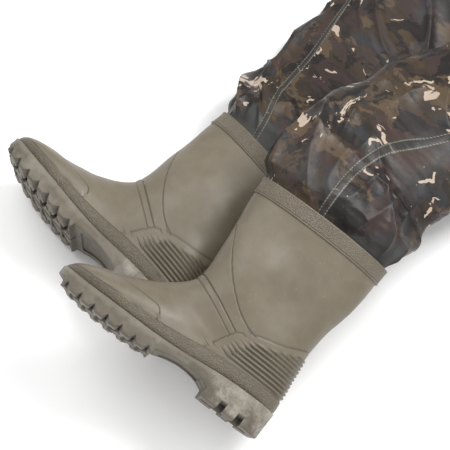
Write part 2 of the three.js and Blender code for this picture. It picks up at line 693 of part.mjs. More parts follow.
const hem = (half) => spread(TORSO_X - half, TORSO_X + half, 10);
add("bib_hem", patch(hem(138), [BIB_TOP_Y - 16, BIB_TOP_Y - 1], frontZ, 0.9, 1.4), CLOTH);
add("back_hem", patch(hem(140), [BACK_TOP_Y - 16, BACK_TOP_Y - 1], backZ, FABRIC + 0.9, 1.4), CLOTH);

// Recentre on the middle of the footprint, with the lowest point on the ground
waders.updateMatrixWorld(true);
const extent = new THREE.Box3().setFromObject(waders, true);
const centre = extent.getCenter(V(0, 0, 0));
waders.position.set(-centre.x, -centre.y, -extent.min.z);

export default waders;
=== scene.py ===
"""Chest waders lying on their back: two moulded boots on camouflage cloth legs, with bib, braces and belt.

Lengths are in millimetres until a mesh is made. +Y runs from the boots to the braces, and +X is the
wearer's left.
"""
import math

import bpy
import numpy as np
from mathutils import Matrix, Vector


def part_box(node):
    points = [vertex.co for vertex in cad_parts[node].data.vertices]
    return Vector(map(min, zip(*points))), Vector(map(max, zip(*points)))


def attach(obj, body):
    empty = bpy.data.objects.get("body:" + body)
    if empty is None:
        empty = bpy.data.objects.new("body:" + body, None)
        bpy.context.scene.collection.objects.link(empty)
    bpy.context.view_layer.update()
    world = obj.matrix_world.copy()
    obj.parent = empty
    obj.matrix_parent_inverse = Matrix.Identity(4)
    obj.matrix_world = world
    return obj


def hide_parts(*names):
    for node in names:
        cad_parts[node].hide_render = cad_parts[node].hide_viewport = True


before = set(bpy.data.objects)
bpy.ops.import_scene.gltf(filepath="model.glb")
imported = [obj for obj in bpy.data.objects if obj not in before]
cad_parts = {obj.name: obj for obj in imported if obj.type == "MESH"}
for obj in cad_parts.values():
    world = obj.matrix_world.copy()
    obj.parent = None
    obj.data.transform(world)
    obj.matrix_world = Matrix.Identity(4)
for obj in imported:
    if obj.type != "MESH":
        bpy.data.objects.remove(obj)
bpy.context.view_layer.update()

MM = 0.001
TORSO_X = -100.0  # centre line of the body, before the frame's own origin is applied
CROTCH_Y = 780.0
WAIST_Y = 1050.0
BIB_TOP_Y = 1400.0
BACK_TOP_Y = 1290.0
UNDERSIDE = 4.5  # height of the back panel's lowest line
FABRIC = 2.4  # the CAD model's cloth
SKIN = 1.3  # cloth thickness shown
WEB = 1.6  # webbing thickness
WEB_WIDTH = 40.0
BOOT_HEIGHT = 265.0
BOOT_WALL = 3.4
CUFF_HEIGHT = 22.0

front_low, front_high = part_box("front_panel")
back_low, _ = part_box("back_panel")
SHIFT = np.array([
    (front_low[0] + front_high[0]) / 2 / MM - TORSO_X,
    front_low[1] / MM - CROTCH_Y,
    back_low[2] / MM - UNDERSIDE,
])


# ---- curves and noise ----
def smooth(t):
    t = np.clip(t, 0.0, 1.0)
    return t * t * (3 - 2 * t)


def step(value, edge, width):
    """0 below the edge and 1 above it, over a short ramp."""
    return smooth((value - edge) / width + 0.5)


def along(points, u):
    """Smooth curve through (u, value) pairs."""
    us = np.array([p[0] for p in points], float)
    vs = np.array([p[1] for p in points], float)
    n = len(us)
    slopes = np.array([
        (vs[min(n - 1, i + 1)] - vs[max(0, i - 1)]) / (us[min(n - 1, i + 1)] - us[max(0, i - 1)])
        for i in range(n)
    ])
    u = np.clip(np.asarray(u, float), us[0], us[-1])
    i = np.clip(np.searchsorted(us, u, side="right") - 1, 0, n - 2)
    h = us[i + 1] - us[i]
    t = (u - us[i]) / h
    t2, t3 = t * t, t * t * t
    return ((2 * t3 - 3 * t2 + 1) * vs[i] + (t3 - 2 * t2 + t) * h * slopes[i]
            + (3 * t2 - 2 * t3) * vs[i + 1] + (t3 - t2) * h * slopes[i + 1])


def lattice(ix, iy, iz, seed):
    """Repeatable random value from 0 to 1 for each lattice point."""
    h = (ix * 374761393 + iy * 668265263 + iz * 2147483647 + seed * 1274126177) & 0xFFFFFFFF
    h = ((h ^ (h >> 13)) * 1274126177) & 0xFFFFFFFF
    return ((h ^ (h >> 16)) & 0xFFFF) / 65535.0


def noise(x, y, z=0.0, seed=0):
    """Smooth value noise from -1 to 1."""
    x, y, z = np.broadcast_arrays(np.asarray(x, float), np.asarray(y, float), np.asarray(z, float))
    ix, iy, iz = (np.floor(v).astype(np.int64) for v in (x, y, z))
    fx, fy, fz = smooth(x - ix), smooth(y - iy), smooth(z - iz)
    total = np.zeros(x.shape)
    for dx in (0, 1):
        for dy in (0, 1):
            for dz in (0, 1):
                weight = (fx if dx else 1 - fx) * (fy if dy else 1 - fy) * (fz if dz else 1 - fz)
                total += weight * lattice(ix + dx, iy + dy, iz + dz, seed)
    return 2 * total - 1


def ridge(n):
    """Turns noise into sharp-crested folds, from 0 to 1."""
    return (1 - np.abs(n)) ** 2


# ---- meshes ----
def link(name, mesh):
    obj = bpy.data.objects.new(name, mesh)
    bpy.context.scene.collection.objects.link(obj)
    return obj


def distances(line):
    """How far along a line each of its points is."""
    return np.concatenate([[0], np.cumsum(np.linalg.norm(np.diff(line, axis=0), axis=1))])


def directions(line):
    """Unit direction of a line at each of its points."""
    run = np.gradient(line, axis=0)
    return run / np.linalg.norm(run, axis=1, keepdims=True)


def grid_faces(rows, columns, closed):
    """Quads of a grid of points; closed joins the last column to the first."""
    wrap = columns if closed else columns - 1
    r, c = np.meshgrid(np.arange(rows - 1), np.arange(wrap), indexing="ij")
    n = (c + 1) % columns
    quads = np.stack([r * columns + c, r * columns + n, (r + 1) * columns + n, (r + 1) * columns + c], -1)
    return quads.reshape(-1, 4).tolist()


def grid_normals(points, closed):
    """Outward normals of a grid of points, rows by columns."""
    if closed:
        across = np.roll(points, -1, 1) - np.roll(points, 1, 1)
    else:
        across = np.gradient(points, axis=1)
    down = np.gradient(points, axis=0)
    normal = np.cross(across, down)
    return normal / np.maximum(np.linalg.norm(normal, axis=-1, keepdims=True), 1e-9)


def build(name, points, faces, material, masks=None, uv=None, smooth_faces=True):
    """Mesh object from points in millimetres, already in the frame's own place."""
    points = np.asarray(points, float).reshape(-1, 3)
    mesh = bpy.data.meshes.new(name)
    mesh.from_pydata((points * MM).tolist(), [], faces)
    if smooth_faces:
        mesh.shade_smooth()
    for key, values in (masks or {}).items():
        layer = mesh.attributes.new(key, "FLOAT", "POINT")
        layer.data.foreach_set("value", np.asarray(values, np.float32).ravel())
    if uv is not None:
        layer = mesh.attributes.new("cloth", "FLOAT_VECTOR", "POINT")
        flat = np.zeros((len(points), 3), np.float32)
        flat[:, :2] = np.asarray(uv, float).reshape(-1, 2) * MM
        layer.data.foreach_set("vector", flat.ravel())
    mesh.materials.append(material)
    mesh.update()
    return link(name, mesh)


def place(points):
    return points + SHIFT


# ---- materials ----
class Shader:
    """Short way to write a node tree."""

    def __init__(self, name):
        self.material = bpy.data.materials.new(name)
        self.material.use_nodes = True
        self.tree = self.material.node_tree
        self.bsdf = self.tree.nodes["Principled BSDF"]

    def node(self, kind, output=0, props=None, **inputs):
        n = self.tree.nodes.new("ShaderNode" + kind)
        for key, value in (props or {}).items():
            setattr(n, key, value)
        for key, value in inputs.items():
            numbered = key[0] == "i" and key[1:].isdigit()
            socket = int(key[1:]) if numbered else key.replace("_", " ")
            self.feed(n.inputs[socket], value)
        return n.outputs[output]

    def feed(self, socket, value):
        if isinstance(value, bpy.types.NodeSocket):
            self.tree.links.new(value, socket)
        else:
            socket.default_value = value

    def set(self, **inputs):
        for key, value in inputs.items():
            self.feed(self.bsdf.inputs[key.replace("_", " ")], value)

    def object_space(self):
        return self.node("TexCoord", output=3)

    def attribute(self, name, output=2):
        return self.node("Attribute", output=output, props={"attribute_name": name})

    def noise(self, vector, scale, detail=3.0, roughness=0.55, distortion=0.0):
        return self.node("TexNoise", Vector=vector, Scale=scale, Detail=detail, Roughness=roughness,
                         Distortion=distortion)

    def voronoi(self, vector, scale, feature="F1", randomness=1.0):
        return self.node("TexVoronoi", props={"feature": feature}, Vector=vector, Scale=scale,
                         Randomness=randomness)

    def ramp(self, value, stops, mode="EASE"):
        n = self.tree.nodes.new("ShaderNodeValToRGB")
        n.color_ramp.interpolation = mode
        while len(n.color_ramp.elements) < len(stops):
            n.color_ramp.elements.new(0.5)
        for element, (position, color) in zip(n.color_ramp.elements, stops):
            element.position = position
            element.color = (*color, 1.0) if isinstance(color, tuple) else (color, color, color, 1.0)
        self.feed(n.inputs[0], value)
        return n.outputs[0]

    def mix(self, factor, a, b, blend="MIX"):
        n = self.tree.nodes.new("ShaderNodeMix")
        n.data_type = "RGBA"
        n.blend_type = blend
        for index, value in ((0, factor), (6, a), (7, b)):
            is_color = isinstance(value, tuple) and len(value) == 3
            self.feed(n.inputs[index], (*value, 1.0) if is_color else value)
        return n.outputs[2]

    def math(self, operation, a, b=0.0, c=0.0):
        return self.node("Math", props={"operation": operation}, i0=a, i1=b, i2=c)

    def bump(self, height, distance, strength=1.0, normal=None):
        n = self.tree.nodes.new("ShaderNodeBump")
        n.inputs["Strength"].default_value = strength
        n.inputs["Distance"].default_value = distance
        self.feed(n.inputs["Height"], height)
        if normal is not None:
            self.feed(n.inputs["Normal"], normal)
        return n.outputs[0]


def pvc_material():
    """Matte moulded PVC: even grain, coarser pebbles where the mould is etched, dirt in the grooves."""
    s = Shader("boot_pvc")
    where = s.object_space()
    pebble = s.attribute("pebble")
    groove = s.attribute("groove")
    tone = s.ramp(s.noise(where, 7.0, 3.0), [(0.3, (0.118, 0.098, 0.066)), (0.72, (0.14, 0.117, 0.081))])
    mottled = s.mix(0.22, tone, s.ramp(s.noise(where, 60.0, 3.0), [(0.35, (0.105, 0.087, 0.058)),
                                                                   (0.65, (0.158, 0.134, 0.096))]))
    pebbled = s.mix(s.math("MULTIPLY", pebble, 0.45), mottled, (0.096, 0.08, 0.056))
    dirty = s.mix(s.math("MULTIPLY", groove, 0.8), pebbled, (0.036, 0.029, 0.019))
    specks = s.ramp(s.noise(where, 330.0, 1.0), [(0.72, 0.0), (0.78, 1.0)])
    s.set(Base_Color=s.mix(s.math("MULTIPLY", specks, 0.25), dirty, (0.38, 0.34, 0.27)))
    rough = s.ramp(s.noise(where, 26.0, 4.0), [(0.3, 0.4), (0.7, 0.52)])
    s.set(Roughness=rough, IOR=1.48)
    grain = s.noise(where, 1500.0, 2.0)
    fine = s.bump(grain, 0.00012, 0.55)
    cells = s.voronoi(where, 760.0, "SMOOTH_F1")
    height = s.math("MULTIPLY", cells, pebble)
    soft = s.bump(s.noise(where, 45.0, 3.0), 0.0009, 0.25, fine)
    s.set(Normal=s.bump(height, 0.0016, 1.0, soft))
    return s.material


def sole_material():
    """The same compound in the outsole: scuffed, with pale rub marks on its walls, most at the heel, and a
    painted highlight, a paler band along the wall's top rim.
    """
    s = Shader("sole_pvc")
    where = s.object_space()
    groove = s.attribute("groove")
    polish = s.attribute("polish")
    tone = s.ramp(s.noise(where, 22.0, 5.0), [(0.3, (0.092, 0.077, 0.055)), (0.7, (0.13, 0.111, 0.082))])
    blotch = s.ramp(s.noise(where, 38.0, 6.0, 0.72), [(0.42, 0.0), (0.68, 1.0)])
    rubbed = s.math("MULTIPLY", blotch, polish)
    wear_and_painted_highlight = s.mix(s.math("MULTIPLY", rubbed, 0.62), tone, (0.4, 0.37, 0.31))
    # painted highlight: the rim mask makes the top rows of the wall paler, a gloss line along the welt
    # painted into the colour
    wear_and_painted_highlight = s.mix(s.math("MULTIPLY", s.attribute("rim"), 0.38), wear_and_painted_highlight, (0.3, 0.275, 0.225))
    dirty = s.mix(s.math("MULTIPLY", groove, 0.8), wear_and_painted_highlight, (0.02, 0.018, 0.014))
    s.set(Base_Color=dirty, IOR=1.48)
    s.set(Roughness=s.math("SUBTRACT", s.ramp(s.noise(where, 60.0, 4.0), [(0.3, 0.44), (0.7, 0.6)]),
                           s.math("MULTIPLY", polish, 0.24)))
    fine = s.bump(s.noise(where, 900.0, 3.0), 0.0002, 0.6)
    s.set(Normal=s.bump(s.noise(where, 120.0, 4.0), 0.0006, 0.5, fine))
    return s.material


def camo_material():
    """PVC coated nylon with a blurred woodland print and hard-edged pale flecks."""
    s = Shader("camo_cloth")
    cloth = s.attribute("cloth", output=1)
    plain = s.attribute("plain")
    stitch = s.attribute("stitch")
    warp = s.mix(0.05, cloth, s.node("TexNoise", output=1, Vector=cloth, Scale=24.0, Detail=3.0), "ADD")

    def moved(x, y, stretch=1.0):
        return s.node("Mapping", Vector=warp, Location=(x, y, 0.0), Scale=(1.0, stretch, 1.0))

    base = s.ramp(s.noise(warp, 15.0, 5.0, 0.62), [
        (0.4, (0.0145, 0.0115, 0.0095)),
        (0.5, (0.029, 0.02, 0.0125)),
        (0.62, (0.052, 0.034, 0.0195)),
    ])
    purple = s.ramp(s.noise(moved(1.0, 4.0), 17.0, 4.0, 0.6), [(0.49, 0.0), (0.53, 1.0)])
    base = s.mix(s.math("MULTIPLY", purple, 0.75), base, (0.036, 0.0215, 0.0195))
    slate = s.ramp(s.noise(moved(3.0, 1.0), 24.0, 4.0, 0.62), [(0.56, 0.0), (0.59, 1.0)])
    base = s.mix(s.math("MULTIPLY", slate, 0.7), base, (0.021, 0.023, 0.027))
    dark = s.ramp(s.noise(moved(5.0, 6.0, 0.6), 30.0, 5.0, 0.65), [(0.52, 0.0), (0.55, 1.0)])
    base = s.mix(s.math("MULTIPLY", dark, 0.85), base, (0.0085, 0.0072, 0.0068))
    tan = s.ramp(s.noise(moved(7.0, 5.0), 26.0, 5.0, 0.62), [(0.57, 0.0), (0.61, 1.0)])
    base = s.mix(s.math("MULTIPLY", tan, 0.75), base, (0.086, 0.058, 0.033))
    # Pale flecks: a few ragged leaf-like islands, well apart
    leaf = s.noise(moved(2.0, 9.0, 0.6), 46.0, 3.0, 0.55, 1.0)
    cluster = s.noise(s.node("Mapping", Vector=cloth, Location=(4.0, 2.0, 0.0)), 10.0, 1.0)
    ragged = s.noise(s.node("Mapping", Vector=cloth, Location=(8.0, 3.0, 0.0)), 150.0, 3.0, 0.6)
    amount = s.math("ADD", leaf, s.math("MULTIPLY", s.math("SUBTRACT", cluster, 0.5), 0.5))
    amount = s.math("ADD", amount, s.math("MULTIPLY", s.math("SUBTRACT", ragged, 0.5), 0.13))
    fleck = s.ramp(amount, [(0.645, 0.0), (0.653, 1.0)], "LINEAR")
    base = s.mix(fleck, base, s.mix(s.noise(cloth, 40.0), (0.3, 0.235, 0.18), (0.43, 0.355, 0.285)))
    base = s.mix(plain, base, (0.026, 0.0255, 0.0245))
    base = s.mix(s.math("MULTIPLY", stitch, 0.9), base, (0.2, 0.195, 0.145))
    s.set(Base_Color=base, IOR=1.34)
    s.set(Roughness=s.ramp(s.noise(cloth, 40.0, 4.0), [(0.3, 0.32), (0.7, 0.46)]))
    weave = s.node("TexWave", output=1, props={"bands_direction": "DIAGONAL"}, Vector=cloth, Scale=900.0)
    grain = s.bump(weave, 0.00005, 0.5)
    crease = s.bump(s.noise(cloth, 70.0, 4.0, 0.55, 0.8), 0.0014, 0.3, grain)
    s.set(Normal=crease)
    return s.material


def webbing_material(name, color, pale):
    """Woven band: a herringbone rib along it, with pale elastic flecks."""
    s = Shader(name)
    cloth = s.attribute("cloth", output=1)
    rib = s.node("TexWave", output=1, props={"bands_direction": "X"}, Vector=cloth, Scale=190.0)
    pick = s.node("TexWave", output=1, props={"bands_direction": "DIAGONAL"}, Vector=cloth, Scale=330.0)
    weave = s.math("MULTIPLY", rib, pick)
    tone = s.mix(weave, color, pale)
    fuzz = s.math("MULTIPLY", s.noise(cloth, 150.0, 4.0), 0.25)
    s.set(Base_Color=s.mix(fuzz, tone, pale), Roughness=0.86)
    s.set(Normal=s.bump(s.math("ADD", rib, pick), 0.0005, 0.7))
    return s.material


def plastic_material(name, color, roughness):
    """Moulded acetal with softened edges and a fine spark finish."""
    s = Shader(name)
    where = s.object_space()
    edges = s.node("Bevel", props={"samples": 6}, Radius=0.0007)
    tone = s.ramp(s.noise(where, 60.0, 3.0), [(0.3, color), (0.7, tuple(c * 1.5 for c in color))])
    rough = s.ramp(s.noise(where, 90.0, 3.0), [(0.3, roughness), (0.7, roughness + 0.12)])
    s.set(Base_Color=tone, Roughness=rough)
    s.set(Normal=s.bump(s.noise(where, 1300.0, 2.0), 0.00015, 0.5, edges))
    return s.material


def steel_material():
    s = Shader("ring_steel")
    where = s.object_space()
    tone = s.ramp(s.noise(where, 80.0, 3.0), [(0.3, (0.42, 0.41, 0.39)), (0.7, (0.6, 0.59, 0.57))])
    s.set(Base_Color=tone)
    s.set(Metallic=1.0, Roughness=s.ramp(s.noise(where, 200.0, 4.0), [(0.3, 0.22), (0.7, 0.4)]))
    edges = s.node("Bevel", props={"samples": 6}, Radius=0.001)
    s.set(Normal=s.bump(s.noise(where, 500.0, 3.0), 0.0001, 0.4, edges))
    return s.material


def hook_material():
    s = Shader("hook_loop")
    where = s.object_space()
    loops = s.voronoi(where, 900.0)
    s.set(Base_Color=s.ramp(loops, [(0.2, (0.012, 0.012, 0.012)), (0.8, (0.05, 0.05, 0.05))]))
    s.set(Roughness=0.95, Normal=s.bump(loops, 0.0006, 0.9))
    return s.material


def foam_material():
    """Insole: needled felt over foam."""
    s = Shader("insole_foam")
    where = s.object_space()
    fibres = s.noise(where, 420.0, 5.0, 0.7, 1.5)
    tone = s.ramp(fibres, [(0.3, (0.03, 0.03, 0.028)), (0.7, (0.085, 0.082, 0.075))])
    s.set(Base_Color=tone, Roughness=0.95)
    s.set(Normal=s.bump(fibres, 0.0006, 0.8))
    return s.material


PVC = pvc_material()
SOLE = sole_material()
CAMO = camo_material()
WEBBING = webbing_material("webbing", (0.016, 0.018, 0.015), (0.05, 0.054, 0.045))
PLASTIC = plastic_material("buckle_plastic", (0.012, 0.012, 0.011), 0.38)
STEEL = steel_material()
HOOK = hook_material()
FOAM = foam_material()


# ---- boots ----
# A boot's frame has x from heel to toe, y across and z up the shaft. heel is where its origin lies; the
# angles, in degrees, turn it about Z, X and Y from lying flat on its side.
BOOTS = {
    "left": dict(
        side=1, heel=(66.5, -7.5, 65.5), heading=10, pitch=11, roll=16.5, shaft_half=97, shaft_thin=31,
    ),
    "right": dict(
        side=-1, heel=(-127, -6.5, 46), heading=-3.4, pitch=1.6, roll=2.7, shaft_half=95, shaft_thin=33,
    ),
}
BOOT_ROWS = 420
BOOT_COLUMNS = 400
LINING_ROWS = 46  # rows of the shaft's inner wall


def boot_matrix(boot):
    def turn(key, axis):
        return Matrix.Rotation(math.radians(boot[key]), 3, axis)
    laid = Matrix(((-1, 0, 0), (0, 0, 1), (0, 1, 0)))
    return np.array(turn("heading", "Z") @ turn("pitch", "X") @ turn("roll", "Y") @ laid)


def boot_place(boot, points):
    return place(points @ boot_matrix(boot).T + np.array(boot["heel"], float))


def boot_stations(boot):
    """Slices from the top of the shaft to the toe: two ends as x, z, then half the width across."""
    back = (boot["shaft_half"] - 88) / 3
    front = 2 * boot["shaft_half"] - 6
    thin = boot["shaft_thin"]
    return np.array([
        (-6 - back, BOOT_HEIGHT, front - back - 4, BOOT_HEIGHT, thin),
        (-3 - back, 206, front - back - 10, 206, thin + 4),
        (1, 163, 172, 170, 42),
        (5, 125, 168, 135, 44),
        (3, 88, 170, 116, 43),
        (0, 58, 178, 104, 41),
        (1, 34.5, 189, 94, 39),
        (26, 32, 200, 86, 39),
        (60, 31, 212, 78, 40),
        (100, 28, 224, 72, 43),
        (140, 23, 238, 65, 47),
        (180, 20, 254, 58, 50),
        (215, 19, 269, 52, 51),
        (245, 19.5, 281, 47, 47),
        (270, 20.5, 291, 42, 39),
        (288, 21.5, 298, 37, 28),
        (299, 23, 303, 31, 14),
        (303.5, 25, 304.5, 28, 3),
    ], float)


def foot_curve(side, x):
    return -side * 12 * np.maximum(0, (x - 150) / 150) ** 2


def boot_rings(boot, rows):
    """Smooth slices down the shaft and along the foot: ends, half width and station number of each."""
    stations = boot_stations(boot)
    count = len(stations) - 1
    t = np.linspace(0, count, rows)
    columns = [along(list(zip(range(count + 1), stations[:, k])), t) for k in range(5)]
    return t, np.stack(columns, -1)


def boot_surface(boot, rows=BOOT_ROWS, columns=BOOT_COLUMNS):
    """Grid of points over the boot's smooth outside, and each point's station number."""
    t, rings = boot_rings(boot, rows)
    bx, bz, fx, fz, half = (rings[:, k, None] for k in range(5))
    angle = np.linspace(0, 2 * np.pi, columns, endpoint=False)[None]
    length = np.hypot(fx - bx, fz - bz)
    ux, uz = (fx - bx) / length, (fz - bz) / length
    boxy = 2.2 + 1.8 * smooth((t[:, None] - 3) / 2)
    power = 2 / np.where(np.cos(angle) < 0, boxy, 2.2)
    c = np.sign(np.cos(angle)) * np.abs(np.cos(angle)) ** power
    s = np.sign(np.sin(angle)) * np.abs(np.sin(angle)) ** power
    reach = length / 2
    x = (bx + fx) / 2 + ux * reach * c
    z = (bz + fz) / 2 + uz * reach * c
    curve = foot_curve(boot["side"], x) * smooth(t[:, None] - 3)
    y = half * s + curve
    return np.stack(np.broadcast_arrays(x, y, z), -1), t[:, None] * np.ones_like(angle)


FOXING_TOP = [(-10, 54), (60, 52.5), (103, 50), (131, 45), (176, 38.5), (215, 36), (260, 34.5), (310, 34)]
PANEL_TOP = [(-10, 129), (8, 124), (40, 108), (75, 97), (95, 86)]
U_SEAM = [(73, 96), (86, 99), (106, 109), (127, 126), (146, 147), (161, 170), (173, 195)]
RIB_PITCH = 5.3


def line_mask(distance, half_width, soft=0.7):
    return 1 - smooth((np.abs(distance) - half_width) / soft)


def segment_distance(x, z, a, b):
    """Signed distance from a line through two points, and how far along it each point is."""
    d = np.array(b, float) - np.array(a, float)
    length = np.hypot(*d)
    along_it = ((x - a[0]) * d[0] + (z - a[1]) * d[1]) / length
    off = ((x - a[0]) * -d[1] + (z - a[1]) * d[0]) / length
    return off, along_it / length


def boot_relief(points):
    """Height, pebble mask and groove mask of the moulded detail at points in the boot's frame."""
    x, z = points[..., 0], points[..., 2]
    foxing = 1 - step(z, along(FOXING_TOP, x), 1.0)
    cap_off = np.hypot(np.maximum(0, 193 - x), np.maximum(0, z - 42)) - 12
    cap = 1 - step(cap_off, 0, 1.2)
    height = 1.7 * foxing + 1.5 * cap * (1 - foxing)
    # ribs run side by side from a slanting edge at the arch to the back of the heel
    low = 57.0
    turn = (z - low) / RIB_PITCH
    inside = smooth((z - low + 1.5) / 1.5) * smooth((along(PANEL_TOP, x) - 9 - z) / 1.5)
    inside = inside * smooth((91 - (z - low) * 0.65 - x) / 2.0)
    ribs = np.clip(0.5 + 0.85 * np.cos(2 * np.pi * (turn - 0.5)), 0, 1) * inside
    height = height + 3.0 * ribs - 0.8 * inside
    panel_off = z - along(PANEL_TOP, x)
    panel_line = line_mask(panel_off, 0.5) * (1 - step(x, 95, 1.0))
    down_off, down_t = segment_distance(x, z, (95, 86), (108, 62))
    above_foxing = z > along(FOXING_TOP, x)
    panel_line = np.maximum(panel_line, line_mask(down_off, 0.5) * (down_t > 0) * above_foxing)
    panel_front = 95 + np.maximum(0, 86 - z) * 0.54
    panel = (1 - step(panel_off, 0, 1.0)) * (1 - step(x, panel_front, 1.0)) * (1 - foxing)
    height = height + 0.45 * panel
    lines = panel_line
    for start, end, depth in (((95, 86), (172, 124), 1.0), ((99, 79), (178, 117), 0.5)):
        off, t = segment_distance(x, z, start, end)
        lines = np.maximum(lines, depth * line_mask(off, 0.55) * (t > 0) * (t < 1.6) * (z < 150))
    band_off, band_t = segment_distance(x, z, (97, 82.5), (175, 120.5))
    band = line_mask(band_off, 3.2) * (band_t > 0) * (band_t < 1.6) * (z < 150)
    height = height + 0.35 * band
    u_points = np.array(U_SEAM, float)
    seam = along([(p[0], p[1]) for p in U_SEAM], x)
    slope = np.maximum(1.0, np.hypot(1, np.gradient(u_points[:, 1], u_points[:, 0]).max() * 0.5))
    lines = np.maximum(lines, line_mask((z - seam) / slope, 0.45, 0.5) * (x > 73) * (x < 173))
    height = height - 0.9 * lines
    edge = line_mask(z - along(FOXING_TOP, x) - 0.9, 0.45)
    cap_edge = line_mask(cap_off - 0.9, 0.45) * (1 - foxing)
    groove = np.clip(lines * 0.9 + 0.85 * edge + 0.8 * cap_edge + 0.6 * inside * (1 - ribs), 0, 1)
    pebble = np.clip(foxing, 0, 1)
    return height, pebble, groove


def shaft_dents(name, points):
    """Soft hollows and creases of a shaft that lies on its side."""
    x, y, z = (points[..., k] for k in range(3))
    upper = smooth((z - 95) / 60)
    up_side = smooth((y + 6) / 20)
    dent = np.zeros_like(z)
    if name == "left":
        dent -= 9.0 * np.exp(-(((x - 62) / 40) ** 2 + ((z - 158) / 34) ** 2)) * up_side
        dent += 3.0 * np.exp(-(((x - 128) / 34) ** 2 + ((z - 178) / 45) ** 2)) * up_side
        dent -= 2.5 * np.exp(-(((x - 165) / 22) ** 2 + ((z - 222) / 26) ** 2)) * up_side
    else:
        dent -= 6.0 * np.exp(-(((x - 30) / 34) ** 2 + ((z - 170) / 50) ** 2)) * up_side
        dent += 2.0 * np.exp(-(((x - 110) / 40) ** 2 + ((z - 190) / 40) ** 2)) * up_side
    dent += 1.6 * upper * noise(x / 55, y / 55, z / 55, 3)
    dent += 0.7 * upper * noise(x / 22, y / 22, z / 26, 5)
    return dent


def shaft_wave(boot, points):
    """The shaft's top edge bends a little out of its own plane."""
    rise = smooth((points[..., 2] - 190) / 70)
    sway = 3.0 * rise * np.sin(points[..., 0] / 62.0 * (1 if boot["side"] > 0 else -1) + 0.6)
    points[..., 1] += sway
    return points


def make_boot(name, boot):
    """Moulded upper, with the inner wall of its shaft."""
    points, _ = boot_surface(boot)
    height, pebble, groove = boot_relief(points)
    dent = shaft_dents(name, points)
    normals = grid_normals(points, True)
    centre = points.mean(axis=1, keepdims=True)
    outward = np.sign((normals * (points - centre)).sum(-1).mean())
    points = points + outward * normals * (height + dent)[..., None]
    points = shaft_wave(boot, points)
    inner = points[:LINING_ROWS] - outward * normals[:LINING_ROWS] * BOOT_WALL
    columns = points.shape[1]
    skin = np.concatenate([inner[::-1], points])
    tip = skin[-1].mean(0)
    floor = inner[-1].mean(0)
    faces = grid_faces(len(skin), columns, True)
    total = len(skin) * columns
    last = (len(skin) - 1) * columns
    faces += [[last + (i + 1) % columns, last + i, total][::-1] for i in range(columns)]
    faces += [[i, (i + 1) % columns, total + 1][::-1] for i in range(columns)]
    flat = np.concatenate([skin.reshape(-1, 3), [tip, floor]])
    pad = np.zeros(LINING_ROWS * columns)
    masks = {
        "pebble": np.concatenate([pad, pebble.ravel(), [0, 0]]),
        "groove": np.concatenate([pad, groove.ravel(), [0, 0]]),
    }
    upper = build(f"{name}_boot", boot_place(boot, flat), faces, PVC, masks)
    finish_piece(upper, "boot_pvc", f"{name}_boot_upper")


def finish_piece(obj, slot, *nodes, body="waders"):
    """Checks which way the faces point, then ties the piece to its body and hides the CAD nodes it stands
    for.
    """
    mesh = obj.data
    coords = np.empty(len(mesh.vertices) * 3)
    mesh.vertices.foreach_get("co", coords)
    coords = coords.reshape(-1, 3)
    mesh.calc_loop_triangles()
    tris = np.empty(len(mesh.loop_triangles) * 3, np.int64)
    mesh.loop_triangles.foreach_get("vertices", tris)
    a, b, c = (coords[tris.reshape(-1, 3)[:, k]] for k in range(3))
    if np.einsum("ij,ij->i", a, np.cross(b, c)).sum() < 0:
        mesh.flip_normals()
    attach(obj, body)
    if nodes:
        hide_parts(*nodes)
    return obj


def make_cuff(name, boot):
    """Textured band round the top, with a raised bead at its lower edge."""
    rows, columns = 44, BOOT_COLUMNS
    fine_rows, shaft_rows = 2551, 450
    points, _ = boot_surface(boot, rows=fine_rows, columns=columns)
    z_row = points[:shaft_rows, :, 2].mean(1)
    heights = np.linspace(BOOT_HEIGHT - CUFF_HEIGHT, BOOT_HEIGHT, rows)
    keep = [int(np.argmin(np.abs(z_row - z))) for z in heights]
    band = points[keep]
    normals = grid_normals(band, True)
    centre = band.mean(axis=1, keepdims=True)
    normals *= np.sign((normals * (band - centre)).sum(-1).mean())
    u = np.linspace(0, 1, rows)[:, None]
    bead = np.exp(-((u - 0.06) / 0.035) ** 2) + 0.9 * np.exp(-((u - 0.97) / 0.03) ** 2)
    grow = 1.35 * smooth(u / 0.05) * smooth((1 - u) / 0.03) + 0.7 * bead
    dent = shaft_dents(name, band)
    outer = shaft_wave(boot, band + normals * (grow + dent + 0.25)[..., None])
    inner = shaft_wave(boot, band + normals * (dent + 0.05 - 3.3 * smooth((u - 0.9) / 0.08))[..., None])
    skin = np.concatenate([outer, inner[::-1]])
    plain_inside = np.zeros(inner.shape[:2])
    grained = smooth((u - 0.1) / 0.05) * smooth((0.95 - u) / 0.03)
    pebble = np.concatenate([np.broadcast_to(grained, outer.shape[:2]), plain_inside])
    under_bead = np.exp(-((u - 0.12) / 0.03) ** 2)
    groove = np.concatenate([np.broadcast_to(under_bead, outer.shape[:2]), plain_inside])
    faces = grid_faces(len(skin), columns, True)
    last = (len(skin) - 1) * columns
    faces += [[last + i, last + (i + 1) % columns, (i + 1) % columns, i] for i in range(columns)]
    piece = build(f"{name}_cuff_band", boot_place(boot, skin.reshape(-1, 3)), faces, PVC,
                  {"pebble": pebble.ravel(), "groove": groove.ravel() * 0.8})
    return finish_piece(piece, "boot_pvc", f"{name}_boot_cuff")


SOLE_HALF = [(-4, 12), (4, 27), (18, 36), (45, 39), (85, 38), (120, 37.5), (165, 45), (210, 52), (245, 50),
             (275, 41), (293, 29), (303, 17), (308, 2)]
SOLE_TOP = [
    (-4, 37.5), (60, 36), (100, 32.5), (140, 27.5), (180, 24.5), (230, 23.5), (275, 24.5), (308, 28),
]
SOLE_BASE = [
    (-4, 9), (60, 9), (80, 10), (96, 16), (120, 18), (140, 15), (158, 9.5), (180, 8), (245, 8), (280, 11),
    (308, 17),
]
TREAD_BOTTOM = [(-4, 2), (4, 0), (82, 0), (160, 1.5), (190, 0), (240, 0), (280, 3.5), (308, 11)]


